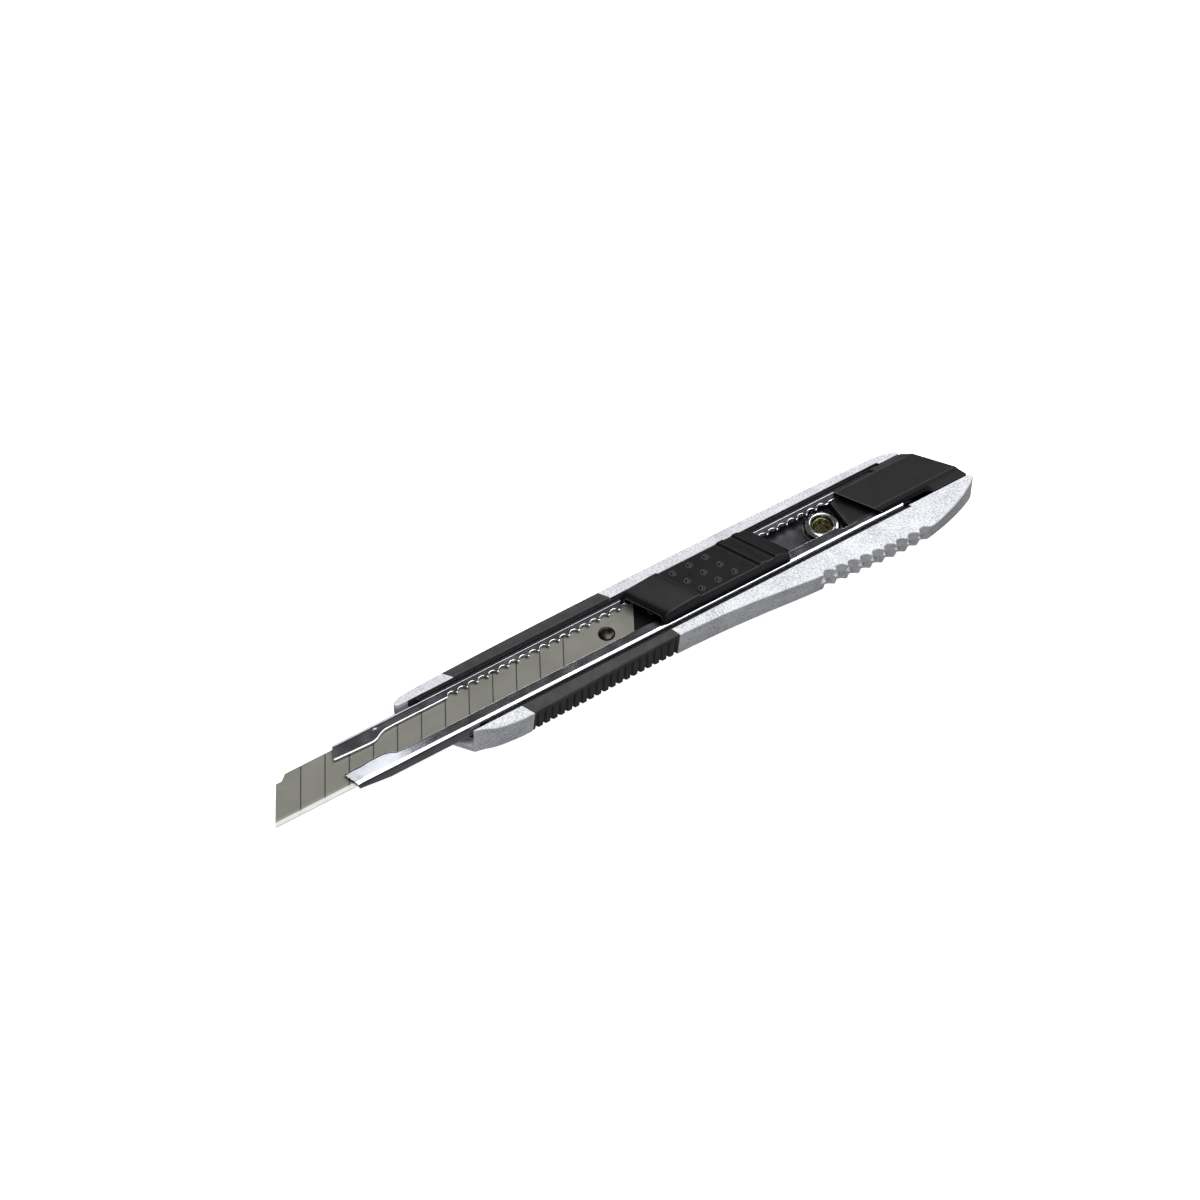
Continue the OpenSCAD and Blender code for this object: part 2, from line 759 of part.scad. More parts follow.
// The pull-off cap, with its tongue in the channel and the slot that snaps the blade.
module end_cap() {
    tongue_x = screw_x + screw_head_d / 2 + 0.4;
    tongue_half = channel_in_w / 2 - carrier_side_gap;
    tongue_root = 2;
    block_half = rear_pocket_half - cap_gap;
    block_front = channel_len + 1.1;
    plate = z_top + run_gap;
    overlap = 0.1;
    narrowing = 0.7;
    front_undercut = 1.4;
    slot_depth = 7;
    slot_gap = 0.15;
    slot_low = z_floor + 0.6;
    relief_e = edge_lip_y - edge_relief;
    relief_s = spine_lip_y + spine_relief;
    color([0.12, 0.12, 0.12])
        shifted()
            difference() {
                union() {
                    block([tongue_x, -tongue_half, z_floor + run_gap],
                        [channel_len + tongue_root, tongue_half, z_lip - run_gap]);
                    block([tongue_x + 0.3, relief_e + cap_gap, z_lip - run_gap - overlap],
                        [channel_len + tongue_root, relief_s - cap_gap, z_top - 0.3]);
                    intersection() {
                        union() {
                            along_x(-far, butt_x + far)
                                cap_section(half_w - narrowing, plate);
                            along_x(block_front, butt_x + far)
                                cap_section(block_half, plate);
                            block([tongue_x, relief_e + cap_gap, z_lip],
                                [butt_x + far, relief_s - cap_gap, plate + overlap]);
                            block([block_front, -block_half, floor_t + run_gap],
                                [butt_x + far, block_half, plate + overlap]);
                        }
                        across([[cap_front, z_cap + 1], [cap_front, z_cap],
                            [cap_front + front_undercut, z_slider], [cap_front + front_undercut, 0],
                            [butt_x + far, 0], [butt_x + far, z_cap + 1]], cap_front_slant);
                        across([[0, -1], [0, far], [butt_x, far], [butt_x, -1]], handle_slant);
                    }
                }
                block([butt_x - slot_depth, -blade_w / 2 - slot_gap, slot_low],
                    [butt_x + far, blade_w / 2 + slot_gap, slot_low + 0.7]);
            }
}

handle_casting();
edge_side_grip();
spine_side_grip();
channel_cradle();
blade_channel();
channel_rivet();
screw_washer();
channel_screw();
snap_blade();
blade_carrier();
blade_peg();
lock_spring();
spring_post();
slider_button();
end_cap();
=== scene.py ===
"""Looks of a slim snap-off utility knife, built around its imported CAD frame.

Every piece is drawn in millimetres counted from the channel's mouth, as the knife's own
drawing is: X runs to the butt, Y from the cutting side to the spine side, Z up from the
underside. Shell.piece() turns them into metres in the shared frame.
"""

from __future__ import annotations

import logging
import math
from dataclasses import dataclass, field
from enum import Enum
from typing import Callable, Iterable, Sequence

import bmesh
import bpy
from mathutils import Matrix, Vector


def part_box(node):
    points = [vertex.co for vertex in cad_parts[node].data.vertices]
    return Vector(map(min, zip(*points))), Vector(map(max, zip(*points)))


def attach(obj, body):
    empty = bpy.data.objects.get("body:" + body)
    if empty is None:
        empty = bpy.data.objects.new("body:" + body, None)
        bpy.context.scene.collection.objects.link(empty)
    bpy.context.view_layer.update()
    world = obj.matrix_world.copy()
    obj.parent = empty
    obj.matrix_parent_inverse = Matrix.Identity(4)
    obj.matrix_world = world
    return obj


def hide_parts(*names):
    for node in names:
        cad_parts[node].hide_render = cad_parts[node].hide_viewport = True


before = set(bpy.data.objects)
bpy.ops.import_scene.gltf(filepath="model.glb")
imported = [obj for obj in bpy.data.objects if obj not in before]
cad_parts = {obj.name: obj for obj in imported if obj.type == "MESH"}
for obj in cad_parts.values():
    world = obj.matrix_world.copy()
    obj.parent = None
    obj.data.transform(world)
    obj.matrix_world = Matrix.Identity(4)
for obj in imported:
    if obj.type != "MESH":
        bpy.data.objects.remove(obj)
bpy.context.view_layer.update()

MM = 0.001
LOG = logging.getLogger("knife")

Point2 = tuple[float, float]
Point3 = tuple[float, float, float]
Corner = tuple[float, float, float]
Ring = list[Point3]
Socket = bpy.types.NodeSocket
Material = bpy.types.Material
Object = bpy.types.Object


class Side(Enum):
    """The two long sides of the knife, with the sign of their Y."""

    EDGE = -1
    SPINE = 1


class Cap(Enum):
    """How the two ends of a lofted shell are closed."""

    FACE = "one face"
    SHEET = "a strip across the thickness of a sheet"


# ---------------------------------------------------------------- drawing helpers


def spread(low: float, high: float, step: float) -> list[float]:
    """Evenly spaced places from low to high, about step apart.

    Args:
        low: The first place.
        high: The last place.
        step: The wanted distance between two places.

    Returns:
        The places, both ends included.
    """
    count = max(1, round((high - low) / step))
    return [low + (high - low) * i / count for i in range(count + 1)]


def ease(value: float) -> float:
    """A smooth step from 0 to 1 as the value goes from 0 to 1."""
    t = min(1.0, max(0.0, value))
    return t * t * (3 - 2 * t)


class Curve:
    """A curve without overshoot through a few points, read as a function of its place."""

    def __init__(self, points: Iterable[Point2]) -> None:
        """Prepares the slopes.

        Args:
            points: (place, value) pairs, in any order.
        """
        self.points = sorted(points)
        steps = [(b[1] - a[1]) / (b[0] - a[0]) for a, b in zip(self.points, self.points[1:])]
        self.slopes = [steps[0]]
        for before, after in zip(steps, steps[1:]):
            flat = before * after <= 0
            self.slopes.append(0.0 if flat else 2 * before * after / (before + after))
        self.slopes.append(steps[-1])

    def __call__(self, place: float) -> float:
        """Reads the curve.

        Args:
            place: Where to read it. Past an end the end's value holds.

        Returns:
            The value there.
        """
        points = self.points
        if place <= points[0][0]:
            return points[0][1]
        if place >= points[-1][0]:
            return points[-1][1]
        i = max(k for k, p in enumerate(points) if p[0] <= place)
        (x0, y0), (x1, y1) = points[i], points[i + 1]
        h = x1 - x0
        t = (place - x0) / h
        a, b = self.slopes[i] * h, self.slopes[i + 1] * h
        return (
            y0 * (1 + 2 * t) * (1 - t) ** 2
            + a * t * (1 - t) ** 2
            + y1 * t * t * (3 - 2 * t)
            + b * t * t * (t - 1)
        )


def rounded(corners: Sequence[Corner], steps: int = 4) -> list[Point2]:
    """A closed outline with its corners rounded off.

    Args:
        corners: (across, up, radius) of each corner, in order round the outline.
        steps: The pieces in each rounded corner.

    Returns:
        steps + 1 points for each corner.
    """
    out: list[Point2] = []
    for i, (y, z, radius) in enumerate(corners):
        here = Vector((y, z))
        back = Vector(corners[i - 1][:2]) - here
        ahead = Vector(corners[(i + 1) % len(corners)][:2]) - here
        reach_back, reach_ahead = back.length, ahead.length
        if min(reach_back, reach_ahead) < 1e-4:
            out += [(y, z)] * (steps + 1)
            continue
        back.normalize()
        ahead.normalize()
        half = max(1e-3, back.angle(ahead) / 2)
        reach = min(radius / math.tan(half), 0.48 * reach_back, 0.48 * reach_ahead)
        start, end = here + back * reach, here + ahead * reach
        size = reach * math.tan(half)
        if math.pi / 2 - half < 1e-3 or half < 0.05 or min(reach, size) < 1e-3:
            out += [tuple(start.lerp(end, k / steps)) for k in range(steps + 1)]
            continue
        centre = here + (back + ahead).normalized() * (size / math.sin(half))
        a, b = start - centre, end - centre
        turn = a.angle(b)
        for k in range(steps + 1):
            t = k / steps
            way = (a * math.sin((1 - t) * turn) + b * math.sin(t * turn)) / math.sin(turn)
            out.append(tuple(centre + way))
    return out


def ring_places(
    start: float, end: float, places: Iterable[float], radius: float, steps: int = 3
) -> list[Point2]:
    """Where the rings of a piece stand, with both of its ends rounded.

    Args:
        start: The first end.
        end: The last end.
        places: The full sections between them, in any order.
        radius: The radius of both ends' edges.
        steps: The rings in each rounding.

    Returns:
        (place, inset of the section) of each ring.
    """
    turns = [math.pi / 2 * k / steps for k in range(steps, 0, -1)]
    rounding = [(radius * (1 - math.sin(a)), radius * (1 - math.cos(a))) for a in turns]
    rings = [(start + off, inset) for off, inset in rounding]
    rings += [(place, 0.0) for place in sorted(places)]
    return rings + [(end - off, inset) for off, inset in rounding[::-1]]


def mirrored(corners: Sequence[Corner]) -> list[Corner]:
    """The same corners on the other side of the centre line."""
    return [(-y, z, radius) for y, z, radius in corners]


def bar(half: float, low: float, high: float, radius: float, steps: int = 4) -> list[Point2]:
    """The section of a flat bar.

    Args:
        half: Half its width.
        low: The height of its underside.
        high: The height of its top.
        radius: The radius of its edges.
        steps: The pieces in each rounded edge.

    Returns:
        The outline's points.
    """
    right = [(half, low, radius), (half, high, radius)]
    return rounded([(-half, low, radius), *right, (-half, high, radius)], steps)


@dataclass(frozen=True)
class Bites:
    """A row of equal round bites along an edge."""

    first: float
    pitch: float
    count: int
    radius: float
    depth: float
    soft: float

    def end(self) -> float:
        """The place one pitch past the last bite."""
        return self.first + self.count * self.pitch

    def __call__(self, x: float) -> float:
        """How deep the edge is cut, softened where two bites meet.

        Args:
            x: The place along the edge.

        Returns:
            The depth there.
        """
        number = min(self.count - 1, max(0, round((x - self.first) / self.pitch)))
        off = abs(x - self.first - number * self.pitch)
        arc = math.sqrt(max(0.0, self.radius**2 - off**2)) - max(0.0, off - self.radius)
        arc -= self.radius - self.depth
        return 0.5 * (arc + math.hypot(arc, self.soft))


@dataclass
class Datum:
    """Where the frame's nodes lie, in millimetres from the channel's mouth."""

    lip_rake: float = 1.3
    mouth: float = field(init=False)

    def __post_init__(self) -> None:
        """Finds the mouth from the channel's own box."""
        self.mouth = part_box("blade_channel")[0].x / MM + self.lip_rake

    def box(self, node: str) -> tuple[Vector, Vector]:
        """The lowest and highest corner of a CAD node.

        Args:
            node: The node's name.

        Returns:
            Both corners, in millimetres from the mouth.
        """
        low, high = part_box(node)
        shift = Vector((self.mouth, 0, 0))
        return low / MM - shift, high / MM - shift

    def metres(self, point: Sequence[float]) -> Point3:
        """A drawn point in the shared frame, in metres."""
        return ((point[0] + self.mouth) * MM, point[1] * MM, point[2] * MM)


DATUM = Datum()


@dataclass
class Shell:
    """Points and faces that are gathered into one mesh."""

    points: list[Point3] = field(default_factory=list)
    faces: list[tuple[int, ...]] = field(default_factory=list)
    looks: list[int] = field(default_factory=list)

    def add_face(self, face: Sequence[int], look: int = 0) -> None:
        """Adds one face of points that are already in the shell.

        Args:
            face: Indices of its points.
            look: Which of the piece's materials it takes.
        """
        self.faces.append(tuple(face))
        self.looks.append(look)

    def loft(
        self,
        rings: Sequence[Ring],
        cap: Cap = Cap.FACE,
        look_of: Callable[[int, int], int] = lambda ring, spot: 0,
    ) -> None:
        """Skins a row of closed rings that have the same number of points.

        Args:
            rings: The rings, in order.
            cap: How the first and last ring are closed.
            look_of: Gives the material of the face after a ring's given spot.
        """
        start, count = len(self.points), len(rings[0])
        for ring in rings:
            self.points += ring
        for r in range(len(rings) - 1):
            a, b = start + r * count, start + (r + 1) * count
            for k in range(count):
                n = (k + 1) % count
                self.add_face((a + k, a + n, b + n, b + k), look_of(r, k))
        for r in (0, len(rings) - 1):
            base = start + r * count
            spots = [base + k for k in range(count)]
            if cap is Cap.FACE:
                self.add_face(spots if r else spots[::-1], look_of(r, 0))
                continue
            for k in range(count // 2 - 1):
                quad = (k, k + 1, count - 2 - k, count - 1 - k)
                self.add_face([base + q for q in quad], look_of(r, k))

    def lathe(
        self,
        profile: Sequence[tuple[float, float | Callable[[float], float]]],
        centre: Sequence[float],
        spokes: int = 48,
        look_of: Callable[[int, int], int] = lambda ring, spot: 0,
    ) -> None:
        """Turns a profile round an upright axis, closed at both ends on the axis.

        Args:
            profile: (radius, height) points from the bottom to the top, where the height
                may be a function of the angle.
            centre: The axis's place and the height that the profile counts from.
            spokes: The steps round the axis.
            look_of: Gives the material of the face after a ring's given spot.
        """
        rings: list[Ring] = []
        x, y, z = centre
        for radius, height in profile:
            ring = []
            for k in range(spokes):
                a = 2 * math.pi * k / spokes
                up = height(a) if callable(height) else height
                ring.append((x + radius * math.cos(a), y + radius * math.sin(a), z + up))
            rings.append(ring)
        self.loft(rings, look_of=look_of)

    def piece(
        self,
        name: str,
        materials: Sequence[Material],
        crease: float = 38.0,
        even: bool = True,
    ) -> Object:
        """Makes the mesh object.

        Args:
            name: The piece's name.
            materials: Its materials, in the order that the faces' looks count them.
            crease: Edges sharper than this angle, in degrees, stay sharp.
            even: Whether large faces keep their own normal beside small roundings.

        Returns:
            The new object, at the frame's origin.
        """
        mesh = bpy.data.meshes.new(name)
        mesh.from_pydata([DATUM.metres(p) for p in self.points], [], self.faces)
        for material in materials:
            mesh.materials.append(material)
        mesh.polygons.foreach_set("material_index", self.looks)
        work = bmesh.new()
        work.from_mesh(mesh)
        bmesh.ops.remove_doubles(work, verts=work.verts, dist=0.002 * MM)
        bmesh.ops.recalc_face_normals(work, faces=work.faces)
        work.to_mesh(mesh)
        work.free()
        mesh.polygons.foreach_set("use_smooth", [True] * len(mesh.polygons))
        mesh.set_sharp_from_angle(angle=math.radians(crease))
        made = bpy.data.objects.new(name, mesh)
        bpy.context.scene.collection.objects.link(made)
        if even:
            weights = made.modifiers.new("even_normals", "WEIGHTED_NORMAL")
            weights.keep_sharp = True
        return made


def settle(piece: Object, body: str, node: str) -> Object:
    """Puts a finished piece on its body and hides the CAD node that it stands for.

    Args:
        piece: The mesh object.
        body: The CAD body that it moves with.
        node: The CAD node that it replaces.

    Returns:
        The same object.
    """
    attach(piece, body)
    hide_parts(node)
    LOG.info("%s: %d faces on %s", piece.name, len(piece.data.polygons), body)
    return piece


# ---------------------------------------------------------------- finishes


class Graph:
    """One material's node tree, with short ways to add what the finishes share."""

    def __init__(self, name: str) -> None:
        """Starts an empty material.

        Args:
            name: The material's name.
        """
        self.material = bpy.data.materials.new(name)
        self.material.use_nodes = True
        self.tree = self.material.node_tree
        self.tree.nodes.clear()
        output = self.tree.nodes.new("ShaderNodeOutputMaterial")
        self.shader = self.tree.nodes.new("ShaderNodeBsdfPrincipled")
        self.tree.links.new(self.shader.outputs[0], output.inputs[0])
        self.place = self.tree.nodes.new("ShaderNodeTexCoord").outputs["Object"]

    def set(self, **values: float) -> None:
        """Sets numbers on the shader's own sockets.

        Args:
            values: Socket names with underscores for spaces, and their values.
        """
        for name, value in values.items():
            self.shader.inputs[name.replace("_", " ")].default_value = value

    def link(self, source: Socket, socket: str) -> None:
        """Feeds a socket of the shader."""
        self.tree.links.new(source, self.shader.inputs[socket])

    def node(
        self,
        kind: str,
        inputs: dict[str | int, Socket | float | Sequence[float]] | None = None,
        **settings: str | int,
    ) -> bpy.types.Node:
        """Adds a node.

        Args:
            kind: Its type's name, without what all shader nodes start with.
            inputs: What its sockets get, which is another node's socket or a value.
            settings: Its own settings.

        Returns:
            The node.
        """
        made = self.tree.nodes.new("ShaderNode" + kind)
        for name, value in settings.items():
            setattr(made, name, value)
        for name, value in (inputs or {}).items():
            if isinstance(value, Socket):
                self.tree.links.new(value, made.inputs[name])
            else:
                made.inputs[name].default_value = value
        return made

    def noise(
        self, scale: float, detail: float = 3.0, rough: float = 0.55, stretch: Point3 | None = None
    ) -> Socket:
        """Cloudy noise.

        Args:
            scale: Its grains in each metre.
            detail: The finer layers in it.
            rough: How strong the finer layers are.
            stretch: Factors on the piece's own X, Y and Z, or None.

        Returns:
            The noise from 0 to 1.
        """
        place = self.place
        if stretch:
            place = self.node("Mapping", {"Vector": place, "Scale": stretch}).outputs[0]
        inputs = {"Vector": place, "Scale": scale, "Detail": detail, "Roughness": rough}
        return self.node("TexNoise", inputs).outputs["Fac"]

    def grains(self, scale: float) -> Socket:
        """Distance to the nearest of many scattered grains, scale of them in each metre."""
        return self.node("TexVoronoi", {"Vector": self.place, "Scale": scale}).outputs["Distance"]

    def spread(
        self, value: Socket, low: float, high: float, out_low: float = 0.0, out_high: float = 1.0
    ) -> Socket:
        """Maps a range of values to another, clamped.

        Args:
            value: The incoming value.
            low: The incoming value that gives out_low.
            high: The incoming value that gives out_high.
            out_low: The result at low.
            out_high: The result at high.

        Returns:
            The mapped value.
        """
        numbers = {"From Min": low, "From Max": high, "To Min": out_low, "To Max": out_high}
        return self.node("MapRange", {"Value": value, **numbers}).outputs[0]

    def math(self, kind: str, *values: Socket | float) -> Socket:
        """Joins values by one kind of arithmetic."""
        return self.node("Math", dict(enumerate(values)), operation=kind).outputs[0]

    def blend(self, factor: Socket, first: Socket | Point3, second: Socket | Point3) -> Socket:
        """A mix of two colours.

        Args:
            factor: 0 for the first colour, 1 for the second.
            first: A colour, or a socket that gives one.
            second: A colour, or a socket that gives one.

        Returns:
            The mixed colour.
        """
        a, b = (c if isinstance(c, Socket) else (*c, 1.0) for c in (first, second))
        return self.node("Mix", {0: factor, 6: a, 7: b}, data_type="RGBA").outputs[2]

    def edges(self, radius: float, low: float = 0.004, high: float = 0.09) -> Socket:
        """Finds the outside edges and inside corners of a piece.

        Args:
            radius: How far from an edge it reaches, in millimetres.
            low: The bend that counts as none.
            high: The bend that counts as an edge.

        Returns:
            1 on an edge, 0 on a flat.
        """
        soft = self.node("Bevel", {"Radius": radius * MM}, samples=4).outputs[0]
        true = self.node("NewGeometry").outputs["Normal"]
        dot = self.node("VectorMath", {0: soft, 1: true}, operation="DOT_PRODUCT")
        return self.spread(dot.outputs["Value"], 1 - low, 1 - high)

    def axis(self, name: str) -> Socket:
        """One coordinate of the piece's own place, in metres."""
        return self.node("SeparateXYZ", {0: self.place}).outputs[name]

    def bump(self, height: Socket, depth: float) -> Socket:
        """The normal of a surface raised by a pattern from 0 to 1, depth millimetres deep."""
        inputs = {"Height": height, "Strength": 1.0, "Distance": depth * MM}
        return self.node("Bump", inputs).outputs[0]


@dataclass(frozen=True)
class HammeredLacquer:
    """Silver lacquer over a zinc die casting, with a fine hammered grain."""

    name: str = "hammered_silver"
    light: Point3 = (0.84, 0.85, 0.89)
    dark: Point3 = (0.42, 0.43, 0.47)
    # Edge colour: wear of the lacquer, together with a painted highlight.
    worn_and_highlit: Point3 = (0.92, 0.92, 0.94)
    grain: float = 3800.0

    def make(self) -> Material:
        """Builds the material."""
        g = Graph(self.name)
        fine = g.noise(self.grain, 4.0, 0.7)
        flakes = g.grains(self.grain * 1.6)
        clouds = g.noise(160.0, 2.0)
        mottle = g.spread(g.math("ADD", fine, g.spread(clouds, 0.3, 0.7, -0.05, 0.05)), 0.4, 0.58)
        colour = g.blend(mottle, self.dark, self.light)
        # Edges lightened: partly wear, partly a painted highlight.
        colour = g.blend(g.edges(0.22), colour, self.worn_and_highlit)
        g.link(colour, "Base Color")
        g.link(g.spread(flakes, 0.1, 0.7, 0.32, 0.5), "Roughness")
        g.set(Metallic=0.05, Specular_IOR_Level=0.4, Coat_Weight=0.06, Coat_Roughness=0.3)
        g.link(g.bump(g.math("ADD", fine, flakes), 0.035), "Normal")
        return g.material


@dataclass(frozen=True)
class GripRubber:
    """Matt black rubber with a dusty bloom, and edges made lighter by rubbing and by a painted
    highlight.
    """

    name: str = "grip_rubber"
    deep: Point3 = (0.018, 0.018, 0.019)
    bloom: Point3 = (0.034, 0.034, 0.035)
    # Edge colour: rubbing of the rubber, together with a painted highlight.
    rubbed_and_highlit: Point3 = (0.075, 0.075, 0.075)

    def make(self) -> Material:
        """Builds the material."""
        g = Graph(self.name)
        clouds = g.noise(420.0, 4.0)
        specks = g.noise(5200.0, 2.0)
        colour = g.blend(g.spread(clouds, 0.35, 0.65), self.deep, self.bloom)
        # Edges lightened: partly rubbing, partly a painted highlight.
        colour = g.blend(g.edges(0.25, 0.002, 0.06), colour, self.rubbed_and_highlit)
        g.link(colour, "Base Color")
        g.link(g.spread(specks, 0.3, 0.7, 0.52, 0.72), "Roughness")
        g.set(Specular_IOR_Level=0.42, Sheen_Weight=0.06, Sheen_Roughness=0.5)
        g.link(g.bump(specks, 0.012), "Normal")
        return g.material


@dataclass(frozen=True)
class MouldedPlastic:
    """Black moulded plastic with a fine spark grain and painted highlights along its edges."""

    name: str
    deep: Point3 = (0.003, 0.0032, 0.0036)
    haze: Point3 = (0.006, 0.0063, 0.007)
    # The colour of the painted highlight along the edges.
    edge: Point3 = (0.1, 0.103, 0.108)
    rough_low: float = 0.26
    rough_high: float = 0.38
    shine: float = 0.3

    def make(self) -> Material:
        """Builds the material."""
        g = Graph(self.name)
        clouds = g.noise(300.0, 3.0)
        grain = g.noise(6500.0, 2.0, 0.6)
        colour = g.blend(g.spread(clouds, 0.3, 0.7), self.deep, self.haze)
        # Edges lightened towards the edge colour: a painted highlight.
        colour = g.blend(g.edges(0.2, 0.002, 0.05), colour, self.edge)
        g.link(colour, "Base Color")
        g.link(g.spread(grain, 0.3, 0.7, self.rough_low, self.rough_high), "Roughness")
        g.set(Specular_IOR_Level=self.shine)
        g.link(g.bump(grain, 0.004), "Normal")
        return g.material


@dataclass(frozen=True)
class RolledSteel:
    """Bright steel strip with fine lines along its length and soft stains."""

    name: str
    light: Point3 = (0.5, 0.51, 0.55)
    dark: Point3 = (0.4, 0.41, 0.445)
    # The colour of the painted highlight along the edges.
    edge: Point3 = (0.9, 0.9, 0.92)
    rough_low: float = 0.11
    rough_high: float = 0.19
    lines: Point3 = (300.0, 5000.0, 5000.0)
    edge_reach: float = 0.08
    groove_depth: float = 0.0006

    def make(self) -> Material:
        """Builds the material."""
        g = Graph(self.name)
        drawn = g.noise(1.0, 3.0, 0.6, self.lines)
        stains = g.noise(240.0, 4.0)
        colour = g.blend(g.spread(stains, 0.35, 0.65), self.dark, self.light)
        # Edges lightened towards the edge colour: a painted highlight.
        colour = g.blend(g.edges(self.edge_reach), colour, self.edge)
        g.link(colour, "Base Color")
        rough = g.spread(drawn, 0.3, 0.7, self.rough_low, self.rough_high)
        g.link(g.math("ADD", rough, g.spread(stains, 0.3, 0.7, -0.03, 0.05)), "Roughness")
        g.set(Metallic=1.0)
        g.link(g.bump(drawn, self.groove_depth), "Normal")
        return g.material


@dataclass(frozen=True)
class BladeSteel:
    """Grey satin blade steel, whose ground bevel is left bright."""

    name: str = "blade_steel"
    body: Point3 = (0.235, 0.235, 0.205)
    body_dark: Point3 = (0.2, 0.2, 0.175)
    # The colour of the painted shade in the score lines.
    score: Point3 = (0.06, 0.058, 0.05)
    ground: Point3 = (0.6, 0.6, 0.59)
    bevel_at: float = -3.7
    score_turn: float = math.radians(60)
    score_pitch: float = 5.0
    score_width: float = 0.24
    score_count: int = 12
    rolling: Point3 = (400.0, 7000.0, 7000.0)
    grinding: Point3 = (9000.0, 500.0, 500.0)

    def make(self) -> Material:
        """Builds the material."""
        g = Graph(self.name)
        rolled = g.noise(1.0, 3.0, 0.6, self.rolling)
        grinding = g.noise(1.0, 2.0, 0.6, self.grinding)
        clouds = g.noise(140.0, 3.0)
        flat = g.blend(g.spread(clouds, 0.3, 0.7), self.body_dark, self.body)
        on_bevel = g.spread(g.axis("Y"), (self.bevel_at + 0.04) * MM, (self.bevel_at - 0.04) * MM)
        # The score lines painted dark: painted shade in the grooves.
        flat = g.blend(self.scored(g), flat, self.score)
        g.link(g.blend(on_bevel, flat, self.ground), "Base Color")
        g.link(g.spread(rolled, 0.3, 0.7, 0.34, 0.46), "Roughness")
        g.set(Metallic=0.35, Specular_IOR_Level=0.3)
        g.link(g.bump(g.math("ADD", rolled, grinding), 0.002), "Normal")
        return g.material

    def scored(self, g: Graph) -> Socket:
        """The slanted score lines, painted dark as shade in their grooves.

        Args:
            g: The material's graph.

        Returns:
            1 in a score line, 0 beside it.
        """
        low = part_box("snap_blade")[0]
        pitch = self.score_pitch * MM
        slope = 1 / math.tan(self.score_turn)
        along = g.math("MULTIPLY_ADD", g.axis("X"), 1 / pitch, -low.x / pitch)
        aside = g.math("MULTIPLY_ADD", g.axis("Y"), -slope / pitch, low.y * slope / pitch)
        place = g.math("ADD", along, aside)
        width = self.score_width / self.score_pitch
        line = g.spread(g.math("FRACT", place), width, width * 1.2, 1.0, 0.0)
        last = self.score_count + 0.5
        after_first = g.spread(place, 0.9, 0.95)
        before_last = g.spread(place, last, last + 0.1, 1.0, 0.0)
        return g.math("MULTIPLY", line, g.math("MULTIPLY", after_first, before_last))


@dataclass(frozen=True)
class PaleGround:
    """The plain pale surface that the knife lies on."""

    name: str = "pale_ground"
    tone: float = 0.9
    cloud: float = 0.004
    glow: float = 0.85

    def make(self) -> Material:
        """Builds the material."""
        g = Graph(self.name)
        clouds = g.spread(g.noise(6.0, 2.0), 0.3, 0.7)
        low = (self.tone - self.cloud,) * 3
        g.link(g.blend(clouds, low, (self.tone,) * 3), "Base Color")
        g.set(Roughness=0.9, Specular_IOR_Level=0.1, Emission_Strength=self.glow)
        g.shader.inputs["Emission Color"].default_value = (1.0, 1.0, 1.0, 1.0)
        return g.material


# ---------------------------------------------------------------- the handle


